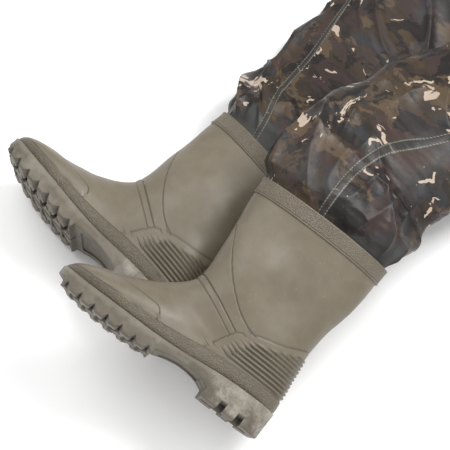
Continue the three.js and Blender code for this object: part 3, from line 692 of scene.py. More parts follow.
def tread(x, v):
    """1 on the face of a lug and 0 in the gaps, by x along the sole and v from -1 to 1 across it."""
    heel = (x < 82)
    fore = (x > 160)
    slot_lines = np.minimum(np.abs(x - 28), np.abs(x - 54))
    side_gap = (np.abs(v) > 0.25) & (slot_lines < 4.5)
    mid_gap = (np.abs(v) < 0.18) & (x > 10) & (x < 76)
    mid_bar = (np.abs(x - 41) < 5)
    heel_lug = np.where(side_gap | (mid_gap & ~mid_bar), 0.0, 1.0)
    pitch = 20.5
    phase = (x - 163) / pitch
    local = (phase - np.floor(phase)) * pitch
    across = np.abs(v)
    notch_width = np.maximum(0.1, 6.4 - 11 * np.maximum(0, 0.93 - across))
    notch = np.clip(np.abs(local - 5) / notch_width, 0, 1) ** 0.7
    notch = np.where(across > 0.55, notch, 1.0)
    cross = (np.abs(np.abs(local - 4) - (0.62 - across) * 21) < 2.0) & (across < 0.6) & (across > 0.1)
    bar = (np.abs(local - 14) < 1.6) & (across < 0.5) & (across > 0.16)
    centre = (across < 0.045)
    fore_lug = np.where(cross | bar | centre, 0.0, notch)
    fore_lug = fore_lug * (x < 298)
    return np.where(heel, heel_lug, np.where(fore, fore_lug, 0.0))


def make_outsole(name, boot):
    """Tread and heel as one grid, with a wall up to the welt."""
    nx, nv = 560, 200
    ux = np.linspace(0, 1, nx)
    x_line = -4 + 312 * (0.5 - 0.5 * np.cos(np.pi * ux)) * 0.35 + 312 * 0.65 * ux
    v_line = np.linspace(-1, 1, nv)
    x, v = np.meshgrid(x_line, v_line, indexing="ij")
    sharp = tread(x, v)
    lug = sharp.copy()
    beside = sharp[:-2, 1:-1] + sharp[2:, 1:-1] + sharp[1:-1, :-2] + sharp[1:-1, 2:]
    lug[1:-1, 1:-1] = (sharp[1:-1, 1:-1] * 2 + beside) / 6
    half = along(SOLE_HALF, x)
    curve = foot_curve(boot["side"], x)
    base, deep = along(SOLE_BASE, x), along(TREAD_BOTTOM, x)
    arch = smooth((x - 82) / 5) * smooth((162 - x) / 6)
    panel = 2.0 * arch * ((np.abs(v) < 0.72) & (x > 94) & (x < 150))
    z = base + panel - (base - deep) * lug * (1 - arch)
    z = np.where((x > 150) & (x < 166), np.maximum(z, deep), z)
    taper = 1 - 0.05 * smooth((20 - z) / 18)
    bottom = np.stack([x, half * v * taper + curve, z], -1)
    # the wall above the tread: a ring of rows from the tread's edge to the welt
    ring_top = along(SOLE_TOP, x_line)
    outline = np.concatenate([bottom[:, 0], bottom[:, -1][::-1]])
    out_x = np.concatenate([x_line, x_line[::-1]])
    out_v = np.concatenate([-np.ones(nx), np.ones(nx)])
    top_z = np.concatenate([ring_top, ring_top[::-1]])
    steps = [0.0, 0.12, 0.35, 0.6, 0.85, 0.97, 1.0]
    bulge = [0.0, 0.4, 0.9, 1.2, 2.2, 3.2, 2.4]
    walls = []
    for s, b in zip(steps[1:], bulge[1:]):
        half_o = along(SOLE_HALF, out_x) + b
        y = half_o * out_v + foot_curve(boot["side"], out_x)
        zz = outline[:, 2] + (top_z - outline[:, 2]) * s
        walls.append(np.stack([out_x, y, zz], -1))
    count = len(outline)
    flat = np.concatenate([bottom.reshape(-1, 3)] + walls)
    index0 = np.concatenate([np.arange(nx) * nv, (np.arange(nx) * nv + nv - 1)[::-1]])
    rings = [index0] + [nx * nv + k * count + np.arange(count) for k in range(len(walls))]
    faces = grid_faces(nx, nv, False)
    for a, b in zip(rings, rings[1:]):
        nxt_a, nxt_b = np.roll(a, -1), np.roll(b, -1)
        faces += np.stack([a, b, nxt_b, nxt_a], -1).tolist()
    top = rings[-1]
    left, right = top[:nx], top[nx:][::-1]
    faces += np.stack([left[:-1], right[:-1], right[1:], left[1:]], -1).tolist()
    # the ends of the grid are closed by the rows' own first and last columns
    end_a = list(range(nv))
    end_b = [(nx - 1) * nv + i for i in range(nv)]
    faces.append(end_a[::-1])
    faces.append(end_b)
    depth_mask = (1 - lug) * np.where((x > 82) & (x < 160), 0.15, 1.0)
    groove = np.concatenate([depth_mask.ravel(), np.zeros(count * len(walls))])
    # painted highlight: 1 on the top rows of the wall, which the sole material paints paler as a gloss line
    # along the welt
    rim = np.concatenate([np.zeros(nx * nv)] + [np.full(count, 1.0 * (s > 0.8)) for s in steps[1:]])
    polish_x = smooth((96 - out_x) / 20)
    polish = np.concatenate([np.zeros(nx * nv)] + [(0.25 + 0.75 * polish_x) for _ in steps[1:]])
    masks = {"groove": groove, "polish": polish, "rim": rim}
    piece = build(f"{name}_sole", boot_place(boot, flat), faces, SOLE, masks, smooth_faces=False)
    soften(piece, 35)
    finish_piece(piece, "sole_pvc", f"{name}_outsole")


def soften(obj, degrees):
    """Smooth shading that keeps edges sharper than the angle."""
    obj.data.shade_smooth()
    obj.data.set_sharp_from_angle(angle=math.radians(degrees))


for boot_name, boot_data in BOOTS.items():
    make_boot(boot_name, boot_data)
    make_cuff(boot_name, boot_data)
    make_outsole(boot_name, boot_data)


# ---- cloth legs ----
# Slices of each leg: y, centre x and z, half width, half thickness, and tilt in degrees
LEGS = {
    "left": [(335, -78, 126, 102, 30, 15), (425, -74, 96, 106, 27, 13), (520, -56, 78, 108, 26, 11),
             (600, -26, 69, 112, 26, 10), (660, 4, 53, 118, 27, 6), (720, 30, 41, 132, 31, 2),
             (778, 46, 38, 144, 33, 0)],
    "right": [(340, -206, 43, 103, 25, 2), (430, -218, 28, 107, 20, 0), (520, -226, 25, 108, 20, 0),
              (600, -234, 26, 112, 20, 0), (660, -240, 29, 120, 23, 0), (720, -244, 35, 132, 29, 0),
              (778, -246, 38, 144, 33, 0)],
}
LEG_ROWS = 420
LEG_COLUMNS = 380
LEG_RADIUS = 62.0  # mean radius, to turn angles round a leg into millimetres


def superellipse(angle, power):
    c = np.sign(np.cos(angle)) * np.abs(np.cos(angle)) ** (2 / power)
    s = np.sign(np.sin(angle)) * np.abs(np.sin(angle)) ** (2 / power)
    return c, s


def shaft_ring(boot, height, grow, angle):
    """Slice that follows the boot's shaft at a height, grown outwards."""
    top, below = boot_stations(boot)[:2]
    mixed = top + (below - top) * (top[1] - height) / (top[1] - below[1])
    c, s = superellipse(angle, 2.2)
    x = (mixed[0] + mixed[2]) / 2 + ((mixed[2] - mixed[0]) / 2 + grow) * c
    local = np.stack([x, (mixed[4] + grow) * s, np.full_like(x, height)], -1)
    return local @ boot_matrix(boot).T + np.array(boot["heel"], float)


def leg_ring(row, angle):
    y, cx, cz, half, thin, tilt = row
    c, s = superellipse(angle, 2.4)
    u, v = -half * c, thin * s
    ct, st = math.cos(math.radians(tilt)), math.sin(math.radians(tilt))
    return np.stack([cx + u * ct + v * st, np.full_like(u, y), cz - u * st + v * ct], -1)


def leg_surface(name, boot):
    """Smooth tube from inside the boot's shaft to the crotch, and each row's distance from the cuff."""
    angle = np.linspace(0, 2 * np.pi, LEG_COLUMNS, endpoint=False)
    rings = [shaft_ring(boot, h, -4.2, angle) for h in (BOOT_HEIGHT - 20, BOOT_HEIGHT - 2)]
    rings.append(shaft_ring(boot, BOOT_HEIGHT + 9, -1.5, angle))
    rings.append(shaft_ring(boot, BOOT_HEIGHT + 26, 3.0, angle))
    rings += [leg_ring(row, angle) for row in LEGS[name]]
    _, top_x, top_z, top_half, top_thin, _ = LEGS[name][-1]
    rings.append(leg_ring((CROTCH_Y + 18, top_x, top_z, top_half - 8, top_thin - 7, 0), angle))
    rings = np.stack(rings)
    knots = distances(rings.mean(1))
    cuff = knots[1] + 2
    s = np.linspace(0, knots[-1], LEG_ROWS)
    flat = rings.reshape(len(rings), -1)
    slopes = np.gradient(flat, knots, axis=0)
    i = np.clip(np.searchsorted(knots, s, side="right") - 1, 0, len(knots) - 2)
    h = (knots[i + 1] - knots[i])[:, None]
    t = (s - knots[i])[:, None] / h
    t2, t3 = t * t, t * t * t
    out = ((2 * t3 - 3 * t2 + 1) * flat[i] + (t3 - 2 * t2 + t) * h * slopes[i]
           + (3 * t2 - 2 * t3) * flat[i + 1] + (t3 - t2) * h * slopes[i + 1])
    return out.reshape(LEG_ROWS, LEG_COLUMNS, 3), s - cuff, angle


def folds(s, around, seed, lean):
    """Sharp drag folds in coated cloth, from 0 to about 1, by millimetres along and around."""
    warp_s = s + 24 * noise(s / 110, around / 100, seed + 0.3, seed)
    warp_a = around + 20 * noise(s / 95, around / 110, seed + 5.7, seed + 1)
    ca, sa = math.cos(lean), math.sin(lean)
    across = warp_a * ca + warp_s * sa
    length = warp_s * ca - warp_a * sa
    big = (1 - np.abs(noise(across / 52, length / 230, 0.0, seed + 2))) ** 3
    small = (1 - np.abs(noise(across / 24 + 3, length / 120, 0.0, seed + 3))) ** 4
    return 0.72 * big + 0.28 * small


def leg_relief(name, s, angle):
    """Fold height over the leg, by distance from the cuff and angle round it."""
    s2 = s[:, None]
    around = angle[None] * LEG_RADIUS
    seed = 11 if name == "left" else 41
    near = smooth((s2 - 1) / 30) * (1 - 0.5 * smooth((s2 - 170) / 240))
    height = 17.0 * near * (folds(s2, around, seed, 0.42) - 0.4)
    bunched = smooth((s2 - 2) / 16) * (1 - smooth((s2 - 50) / 90))
    height += 4.5 * bunched * ((1 - np.abs(noise(around / 22, s2 / 75, 0.4, seed + 7))) ** 3 - 0.35)
    height += 5.0 * smooth(s2 / 50) * noise(s2 / 170, around / 120, 0.2, seed + 9)
    bend = (1 - np.abs(noise(s2 / 34, around / 130, 0.6, seed + 12))) ** 4
    height += 4.5 * smooth((s2 - 14) / 20) * (1 - smooth((s2 - 150) / 90)) * (bend - 0.3)
    height += 0.35 * noise(s2 / 7, around / 16, 0.1, seed + 13) * near
    fade = 1 - smooth((s2 - 470) / 60)
    return height * np.clip(fade, 0.15, 1)


def soft_limit(z):
    """Keeps cloth off the floor and under the highest point the waders reach."""
    floor_start, floor_room = 6.2, 5.0
    top_start, top_room = 178.0, 14.0
    below = np.exp(np.minimum(0, (z - floor_start) / floor_room)) - 1
    z = np.where(z < floor_start, floor_start + floor_room * below, z)
    above = 1 - np.exp(-np.maximum(0, z - top_start) / top_room)
    return np.where(z > top_start, top_start + top_room * above, z)


def make_leg(name, boot):
    """Cloth of one leg, closed at both ends; gives its points, normals and distances from the cuff."""
    base, s, angle = leg_surface(name, boot)
    normals = grid_normals(base, True)
    centre = base.mean(axis=1, keepdims=True)
    normals *= np.sign((normals * (base - centre)).sum(-1).mean())
    height = leg_relief(name, s, angle)
    puff = 5.0 * smooth((s - 2) / 22) * (1 - smooth((s - 40) / 70))
    height = height + puff[:, None]
    height = np.where(s[:, None] < 1.0, 0.0, height)
    points = base + normals * height[..., None]
    points[..., 2] = soft_limit(points[..., 2])
    # plain dark cloth next to the cuff, on one side of the leg
    plain_width, plain_from = (34, 1.75) if name == "left" else (26, 0.3)
    plain_edge = plain_width * smooth((angle - plain_from) / 0.7)
    plain = 1 - step(s[:, None] + 3 * noise(s[:, None] / 12, angle[None] * 9, 0, 5), plain_edge[None], 2.0)
    # the print is mirrored at half a turn, so that it has no cut edge
    half_turn = math.pi * LEG_RADIUS * 1.15
    width = angle[None] * LEG_RADIUS * 1.15 * np.ones((len(s), 1))
    mirror = np.where(width > half_turn, 2 * half_turn - width, width)
    offset = 0.0 if name == "left" else 900.0
    uv = np.stack([mirror + offset + (width > mirror) * 430.0, s[:, None] * np.ones_like(width)], -1)
    faces = grid_faces(LEG_ROWS, LEG_COLUMNS, True)
    total = LEG_ROWS * LEG_COLUMNS
    last = (LEG_ROWS - 1) * LEG_COLUMNS
    for i in range(LEG_COLUMNS):
        after = (i + 1) % LEG_COLUMNS
        faces += [[i, after, total], [last + after, last + i, total + 1]]
    flat = np.concatenate([points.reshape(-1, 3), [points[0].mean(0), points[-1].mean(0)]])
    masks = {"plain": np.concatenate([plain.ravel(), [0, 0]]), "stitch": np.zeros(len(flat))}
    uv_flat = np.concatenate([uv.reshape(-1, 2), [[0, 0], [0, 0]]])
    piece = build(f"{name}_leg_cloth", place(flat), faces, CAMO, masks, uv_flat)
    finish_piece(piece, "camo_cloth", f"{name}_leg")
    return points, normals, s


def sample(grid, s_axis, s, angle):
    """Point on a leg's grid at a distance and an angle, by linear steps."""
    row = np.interp(s, s_axis, np.arange(len(s_axis)))
    column = (angle % (2 * np.pi)) / (2 * np.pi) * grid.shape[1]
    r0, c0 = np.floor(row).astype(int), np.floor(column).astype(int)
    fr, fc = (row - r0)[:, None], (column - c0)[:, None]
    r1, c1 = np.minimum(r0 + 1, grid.shape[0] - 1), (c0 + 1) % grid.shape[1]
    c0 = c0 % grid.shape[1]
    return ((grid[r0, c0] * (1 - fc) + grid[r0, c1] * fc) * (1 - fr)
            + (grid[r1, c0] * (1 - fc) + grid[r1, c1] * fc) * fr)


# Angle round the leg, in radians, by distance from the cuff
SEAM_ANGLE = {
    "left": [
        (0, 1.45), (40, 1.45), (80, 1.47), (130, 1.52), (180, 1.61), (300, 1.92), (420, 2.4), (540, 3.0),
    ],
    "right": [(0, 1.25), (60, 1.1), (180, 0.9), (300, 0.5), (420, 0.2), (540, 0.05)],
}
SEAM_STITCH = 0.62  # where the two rows of stitches run, from the seam's middle to its edge


def make_leg_seam(name, points, normals, s_axis):
    """Felled outside seam of a leg: a narrow raised strip with two rows of stitching."""
    s = np.linspace(1.5, 528, 620)
    angle = along(SEAM_ANGLE[name], s)
    half_angle = 0.0605
    offsets = np.linspace(-1, 1, 13)
    rows = []
    for o in offsets:
        p = sample(points, s_axis, s, angle + o * half_angle)
        n = sample(normals, s_axis, s, angle + o * half_angle)
        rise = 0.9 * (1 - abs(o) ** 4) - 0.35 - 0.35 * np.exp(-((abs(o) - SEAM_STITCH) / 0.16) ** 2)
        rows.append(p + n * rise)
    grid = np.stack(rows, 1)
    u = np.linspace(-4.5, 4.5, 13)[None] * np.ones((len(s), 1))
    dash = (np.mod(s, 4.2) < 2.9)[:, None]
    stitch = dash * (np.abs(np.abs(offsets[None]) - SEAM_STITCH) < 0.1)
    shell_piece(f"{name}_leg_seam", grid, 0.5, CAMO, "camo_cloth",
                masks={"plain": np.full(stitch.shape, 0.75), "stitch": stitch * 1.0},
                uv=np.stack([u + 2000, s[:, None] * np.ones_like(u)], -1))


def shell_piece(name, grid, thickness, material, slot, *nodes, masks=None, uv=None, body="waders", down=None):
    """Closed thin shell: a grid of points and the same grid moved down its normals."""
    normals = grid_normals(grid, False)
    if down is None:
        down = -normals * np.sign(normals[..., 2].mean() or 1.0)
    under = grid + down * thickness
    rows, columns = grid.shape[:2]
    flat = np.concatenate([grid.reshape(-1, 3), under.reshape(-1, 3)])
    top = grid_faces(rows, columns, False)
    count = rows * columns
    bottom = [[f[0] + count, f[3] + count, f[2] + count, f[1] + count] for f in top]
    index = np.arange(count).reshape(rows, columns)
    rim = np.concatenate([index[0], index[1:, -1], index[-1, -2::-1], index[-2:0:-1, 0]])
    after = np.roll(rim, -1)
    edge = np.stack([rim, rim + count, after + count, after], -1).tolist()
    doubled = {k: np.concatenate([np.ravel(v), np.ravel(v)]) for k, v in (masks or {}).items()}
    if material is CAMO:
        doubled.setdefault("plain", np.zeros(2 * count))
        doubled.setdefault("stitch", np.zeros(2 * count))
    uv2 = None if uv is None else np.concatenate([np.reshape(uv, (-1, 2)), np.reshape(uv, (-1, 2))])
    piece = build(name, place(flat), top + bottom + edge, material, doubled, uv2)
    soften(piece, 50)
    finish_piece(piece, slot, *nodes, body=body)


for boot_name, boot_data in BOOTS.items():
    make_leg_seam(boot_name, *make_leg(boot_name, boot_data))


# ---- body panels ----
# Half widths and heights along the body, by y
BODY_HALF = [(CROTCH_Y, 291), (900, 292), (WAIST_Y, 284), (1150, 279), (1200, 262)]
FRONT_HALF = BODY_HALF + [(1250, 224), (1300, 184), (1350, 164), (BIB_TOP_Y, 156)]
BACK_HALF = BODY_HALF + [(1240, 205), (BACK_TOP_Y, 150)]
BODY_TOP = [(CROTCH_Y, 71), (900, 74), (1010, 66), (1090, 66), (1200, 60), (1300, 46), (BIB_TOP_Y, 42)]
SEAM_Z = [(CROTCH_Y, 37), (1150, 34), (1250, 26), (BIB_TOP_Y, 20)]


def arch(u):
    """Rounded section of a panel that lies flat: 1 in the middle and 0 at the side seams."""
    return (1 - np.minimum(1, np.abs(u)) ** 2.4) ** (1 / 2.4)


def front_z(x, y):
    seam = along(SEAM_Z, y)
    return seam + (along(BODY_TOP, y) - seam) * arch((x - TORSO_X) / along(FRONT_HALF, y))


def back_z(x, y):
    seam = along(SEAM_Z, y) - 2 * FABRIC - 0.35
    return seam - (seam - UNDERSIDE) * arch((x - TORSO_X) / along(BACK_HALF, y))


def body_relief(x, y, seed):
    """Soft folds of the body cloth, drawn in by the belt and flat where things are sewn on."""
    at_belt = np.exp(-((y - WAIST_Y) / 26) ** 2)
    gathered = np.exp(-((y - WAIST_Y) / 75) ** 2) * (1 - at_belt)
    flat_zone = smooth((150 - np.abs(x - TORSO_X)) / 30) * smooth((y - 1105) / 25)
    loose = (1 - at_belt) * (1 - 0.93 * flat_zone)
    height = 7.0 * loose * (folds(y - CROTCH_Y, x, seed, 0.9) - 0.45)
    height += 4.0 * gathered * (1 - flat_zone) * noise(x / 13, y / 90, 0, seed + 4)
    height += 5.0 * loose * noise(x / 120, y / 110, 0, seed + 6)
    crotch = smooth((900 - y) / 100)
    spread = noise((x - TORSO_X) / 60 + (y - CROTCH_Y) / 90, y / 160, 0, seed + 8)
    height += 6.0 * crotch * (ridge(spread) - 0.5)
    return height - 1.0


def body_grid(half_points, y0, y1, rows, columns):
    y = np.linspace(y0, y1, rows)
    phase = np.linspace(0, np.pi, columns)
    half = along(half_points, y)[:, None]
    x = TORSO_X - half * np.cos(phase)[None]
    return x, np.broadcast_to(y[:, None], x.shape)


def make_body():
    """Front panel with its bib, and the back panel under it."""
    x, y = body_grid(FRONT_HALF, CROTCH_Y - 2, BIB_TOP_Y, 330, 300)
    u = np.abs(x - TORSO_X) / along(FRONT_HALF, y)
    edge = smooth((1 - u) / 0.06)
    # the crotch: the front dips between the legs
    dip = 16 * np.exp(-((x - TORSO_X) / 24) ** 2) * np.exp(-((y - CROTCH_Y) / 60) ** 2)
    z = front_z(x, y) + body_relief(x, y, 71) * edge - dip
    uv = np.stack([x + 3000, y], -1)
    stitch = (np.abs(BIB_TOP_Y - y - 13) < 0.9) * 1.0
    shell_piece("bib_cloth", np.stack([x, y, z], -1), SKIN, CAMO, "camo_cloth", "front_panel", uv=uv,
                masks={"stitch": stitch})
    x, y = body_grid(BACK_HALF, CROTCH_Y - 2, BACK_TOP_Y, 260, 280)
    u = np.abs(x - TORSO_X) / along(BACK_HALF, y)
    edge = smooth((1 - u) / 0.06)
    seam_lift = 3.6 * (1 - smooth((1 - u) / 0.1))
    z = back_z(x, y) + np.abs(body_relief(x, y, 83)) * 0.35 * edge + seam_lift
    shell_piece("back_cloth", np.stack([x, y, z], -1), SKIN, CAMO, "camo_cloth", "back_panel",
                uv=np.stack([x + 4000, y], -1))


def tube_faces(rows, sides):
    """Faces of a tube closed at both ends."""
    faces = grid_faces(rows, sides, True)
    faces.append(list(range(sides))[::-1])
    faces.append([(rows - 1) * sides + i for i in range(sides)])
    return faces


def tube_piece(name, line, radius, sides=10):
    """Round edging of camouflage cloth along a line of points."""
    line = np.asarray(line, float)
    run = directions(line)
    across = np.cross(run, (0.0, 0.0, 1.0))
    across /= np.maximum(np.linalg.norm(across, axis=1, keepdims=True), 1e-6)
    up = np.cross(across, run)
    a = np.linspace(0, 2 * np.pi, sides, endpoint=False)
    c, s = np.cos(a)[None, :, None], np.sin(a)[None, :, None]
    rings = line[:, None] + radius * (c * across[:, None] + s * up[:, None])
    uv = np.stack(np.broadcast_arrays(a[None] * radius, distances(line)[:, None]), -1)
    masks = {"plain": np.ones(len(line) * sides), "stitch": np.zeros(len(line) * sides)}
    piece = build(name, place(rings.reshape(-1, 3)), tube_faces(len(line), sides), CAMO, masks, uv)
    finish_piece(piece, "camo_cloth")


def make_side_seams():
    """Edging where front and back meet, up to the level where the bib narrows."""
    for side, label in ((1, "left"), (-1, "right")):
        y = np.linspace(CROTCH_Y, 1196, 210)
        x = TORSO_X + side * (along(BODY_HALF, y) - 0.5)
        drawn_in = np.exp(-((y - WAIST_Y) / 26) ** 2)
        z = along(SEAM_Z, y) - 1.6
        tube_piece(f"{label}_side_seam", np.stack([x - side * drawn_in, y, z], -1), 2.1)


make_body()
make_side_seams()


# ---- webbing ----
def ribbon(name, line, across, width, thickness, *nodes, body="waders", where=place):
    """Flat woven band with rounded edges along a line; across gives its sideways direction."""
    line = np.asarray(line, float)
    across = np.asarray(across, float) * np.ones_like(line)
    across /= np.linalg.norm(across, axis=1, keepdims=True)
    up = np.cross(directions(line), across)
    up /= np.linalg.norm(up, axis=1, keepdims=True)
    w = np.linspace(-1, 1, 9)
    edge = np.sqrt(np.clip(1 - (np.maximum(0, np.abs(w) - 0.93) / 0.07) ** 2, 0, 1)) * 0.82 + 0.18
    outline_w = np.concatenate([w, w[::-1]]) * width / 2
    outline_t = np.concatenate([edge, -edge[::-1]]) * thickness / 2
    sideways, upwards = outline_w[None, :, None] * across[:, None], outline_t[None, :, None] * up[:, None]
    rings = line[:, None] + sideways + upwards
    faces = tube_faces(len(line), 2 * len(w))
    uv = np.stack(np.broadcast_arrays(outline_w[None], distances(line)[:, None]), -1)
    piece = build(name, where(rings.reshape(-1, 3)), faces, WEBBING, None, uv)
    soften(piece, 60)
    finish_piece(piece, "webbing", *nodes, body=body)


def fine_line(points, spacing=3.0):
    """Smooth closely spaced line through points."""
    points = np.asarray(points, float)
    distance = distances(points)
    s = np.linspace(0, distance[-1], max(8, int(distance[-1] / spacing)))
    return np.stack([along(list(zip(distance, points[:, k])), s) for k in range(3)], -1)


BUCKLE_HIGH, BUCKLE_DEEP, BUCKLE_SLOT, BUCKLE_BAR = 9.0, 34.0, 9.0, 5.0
BRACE_X, BRACE_TURN_Y, BRACE_MOUTH_Y, BRACE_Z = 105.0, 1630.0, 1338.0, 53.0
WEB_LEVEL = BRACE_Z + BUCKLE_HIGH / 2
RUN_START, RUN_FLAT, LOOP_ARM = 46.0, 180.0, 46.0
LOOP_GAP = WEB + 0.7
SOCKET_SHIFT = -BUCKLE_DEEP + 5
NARROW_WEB = 22.0


def brace_line(side):
    """Brace from its tongue up over the shoulder turn, then back along the floor to the other side."""
    x, y, turn = side * BRACE_X, BRACE_MOUTH_Y, 6.0
    low = 3.5 if side > 0 else 1.7
    return [
        (x, y + RUN_START, WEB_LEVEL), (x, y + 110, WEB_LEVEL), (x, y + RUN_FLAT, WEB_LEVEL),
        (x, y + 205, WEB_LEVEL - 10), (x, y + 235, WEB_LEVEL - 29), (x, y + 255, 2 * turn + 5),
        (x, BRACE_TURN_Y - 14, 2 * turn + 1), (x, BRACE_TURN_Y - 4, 2 * turn - 1),
        (x, BRACE_TURN_Y, turn + 1), (x, BRACE_TURN_Y - 4, 4.0),
        (x, BRACE_TURN_Y - 14, low), (x * 0.55, 1560, low), (0, 1490, low),
        (-x * 0.45, 1420, low), (-x * 0.75, 1345, low), (-x * 0.9, BACK_TOP_Y - 28, low),
    ]


def fold_line():
    """Middle of the webbing folded round a buckle's bar, in the buckle's own frame."""
    middle, reach, around = BUCKLE_HIGH / 2, LOOP_GAP / 2 + WEB / 2, 4.2 - WEB / 2
    turn_x = 5 + BUCKLE_SLOT + BUCKLE_BAR / 2
    top = [
        (turn_x + LOOP_ARM, 0, reach), (turn_x + 24, 0, reach), (turn_x + 8, 0, reach),
        (turn_x + 3, 0, around), (turn_x - 1, 0, around), (turn_x - 3.6, 0, around - 1.2),
        (turn_x - 4.2, 0, 0),
    ]
    under = [(x, y, -z) for x, y, z in top[-2::-1]]
    return np.array(top + under, float) + (0, 0, middle)


def buckle_place(origin, turn):
    """Function that takes points from a buckle's own frame to where it lies."""
    ct, st = math.cos(turn), math.sin(turn)
    rotation = np.array([[ct, -st, 0], [st, ct, 0], [0, 0, 1]])
    return lambda points: place(points @ rotation.T + np.array(origin, float))


def make_fold(name, body, where, flip):
    """Webbing folded through the tongue, or through the socket when flip is set."""
    line = fine_line(fold_line(), 1.5)
    if flip:
        line[:, :2] *= -1
        line[:, 0] += SOCKET_SHIFT
    node = f"{name}_socket_fold" if flip else f"{name}_tongue_loop"
    ribbon(f"{node}_web", line, (0, 1, 0), WEB_WIDTH, WEB, node, body=body, where=where)


def make_braces():
    for label, side in (("left", 1), ("right", -1)):
        line = fine_line([(TORSO_X + x, y, z) for x, y, z in brace_line(side)], 3.0)
        run = np.gradient(line, axis=0)
        plan = np.stack([-run[:, 1], run[:, 0], 0 * run[:, 0]], -1)
        plan *= np.where(plan[:, :1] > 0, -1, 1)
        plan_size, run_size = (np.linalg.norm(v, axis=1, keepdims=True) for v in (plan, run))
        plan = np.where(plan_size < 0.2 * run_size, np.array([[-1.0, 0, 0]]), plan)
        ribbon(f"{label}_brace_web", line, plan, WEB_WIDTH, WEB, f"{label}_brace")
        where = buckle_place((TORSO_X + side * BRACE_X, BRACE_MOUTH_Y, BRACE_Z), math.pi / 2)
        make_fold(f"{label}_brace", f"{label}_brace_tongue", where, False)
        make_fold(f"{label}_brace", "waders", where, True)
        # the webbing's rise over the adjuster's bar
        adjuster_x, adjuster_z = 108, BUCKLE_HIGH / 2 + LOOP_GAP / 2 + WEB + 0.35
        rise = [(-7.5, 0.6), (-5, 4.6), (0, 6), (5, 4.6), (7.5, 0.6)]
        bar = fine_line([(x + adjuster_x, 0, z + adjuster_z - 0.4) for x, z in rise], 0.8)
        ribbon(f"{label}_adjuster_web", bar, (0, 1, 0), WEB_WIDTH, 0.9, f"{label}_adjuster_fold",
               body=f"{label}_adjuster", where=where)


def belt_geometry():
    """Where the buckle lies, then the half width, top, bottom and side level of the belt's round."""
    rise = 3.4
    half = float(along(FRONT_HALF, WAIST_Y)) + 2 * rise
    top = float(along(BODY_TOP, WAIST_Y)) + rise
    bottom = UNDERSIDE - rise + 0.6
    seam = float(along(SEAM_Z, WAIST_Y)) - FABRIC
    belt_x = TORSO_X + 40
    belt_z = float(front_z(belt_x - 70, WAIST_Y)) + 2.2
    return belt_x, belt_z, half, top, bottom, seam


def make_belt():
    """Waist belt right round the body, its two folds at the buckle, and its two loops."""
    belt_x, belt_z, half, top, bottom, seam = belt_geometry()
    level = belt_z + BUCKLE_HIGH / 2
    angles = np.radians(np.arange(62, -243, -4.0))
    c, s = superellipse(angles, 2.4)
    round_x = TORSO_X + half * c
    round_z = seam + np.where(s > 0, top - seam, seam - bottom) * s
    around = [(x, WAIST_Y, z) for x, z in zip(round_x, round_z)]
    start, end = belt_x + RUN_START, belt_x + SOCKET_SHIFT - RUN_START
    straight = [(start + run, WAIST_Y, level) for run in (0, 14, 28, 38, 44)]
    line = straight + around + [(end - 24, WAIST_Y, level), (end, WAIST_Y, level)]
    ribbon("belt_web", fine_line(line, 3.0), (0, 1, 0), WEB_WIDTH, WEB, "waist_belt")
    where = buckle_place((belt_x, WAIST_Y, belt_z), 0.0)
    make_fold("belt", "belt_tongue", where, False)
    make_fold("belt", "waders", where, True)
    for label, side in (("left", 1), ("right", -1)):
        x = TORSO_X + side * 185
        profile = [
            (-32, 0.5), (-27, 0.6), (-24, 1.5), (-22.6, 5.6), (-20, 6.4), (0, 6.6), (20, 6.4), (22.6, 5.6),
            (24, 1.5), (27, 0.6), (32, 0.5),
        ]
        line = []
        for dy, rise in profile:
            y = WAIST_Y + dy
            line.append((x, y, float(max(front_z(x - 11, y), front_z(x + 11, y))) + rise + 0.8))
        line = fine_line(line, 1.5)
        ribbon(f"{label}_belt_loop_web", line, (1, 0, 0), NARROW_WEB, WEB, f"{label}_belt_loop")


make_braces()
make_belt()


# ---- chest pocket, patches and hems ----
POCKET_HALF, POCKET_BOTTOM, POCKET_TOP = 70.0, 1130.0, 1262.0
FLAP_HINGE_Y, FLAP_TIP_Y, POCKET_PUFF = 1284.0, 1212.0, 9.0


def pocket_z(x, y):
    """Front panel with the pocket's swell on it."""
    across = 1 - ((x - TORSO_X) / POCKET_HALF) ** 4
    up = smooth((y - POCKET_BOTTOM) / 30) * smooth((FLAP_HINGE_Y - y) / 22)
    return front_z(x, y) + POCKET_PUFF * np.maximum(0, across) * up


def sewn_patch(name, middle, half, y0, y1, surface, rise, thickness, material, slot, *nodes, body="waders",
               inset=4.0, columns=90, rows=90, offset=0.0):
    """Patch of cloth that follows a surface, turned down at its edges, with stitches inside them."""
    x0, x1 = middle - half, middle + half
    x, y = np.meshgrid(np.linspace(x0, x1, columns), np.linspace(y0, y1, rows))
    edge_x, edge_y = np.minimum(x - x0, x1 - x), np.minimum(y - y0, y1 - y)
    edge = np.minimum(edge_x, edge_y)
    z = surface(x, y) + rise + thickness * (0.55 + 0.45 * smooth(edge / 1.5))
    z = z - 0.35 * np.exp(-((edge - inset) / 1.1) ** 2)
    along_edge = np.where(edge_x < edge_y, y, x)
    stitch = (np.abs(edge - inset) < 0.75) * (np.mod(along_edge, 4.0) < 2.7) * 1.0
    z = z + 0.5 * noise(x / 18, y / 22, offset, 91) * smooth(edge / 12)
    masks = {"plain": 0 * stitch, "stitch": stitch, "pebble": 0 * stitch, "groove": stitch * 0.6}
    shell_piece(name, np.stack([x, y, z], -1), thickness * 0.5, material, slot, *nodes, body=body,
                masks=masks, uv=np.stack([x + offset, y], -1), down=np.array([0.0, 0.0, -1.0]))


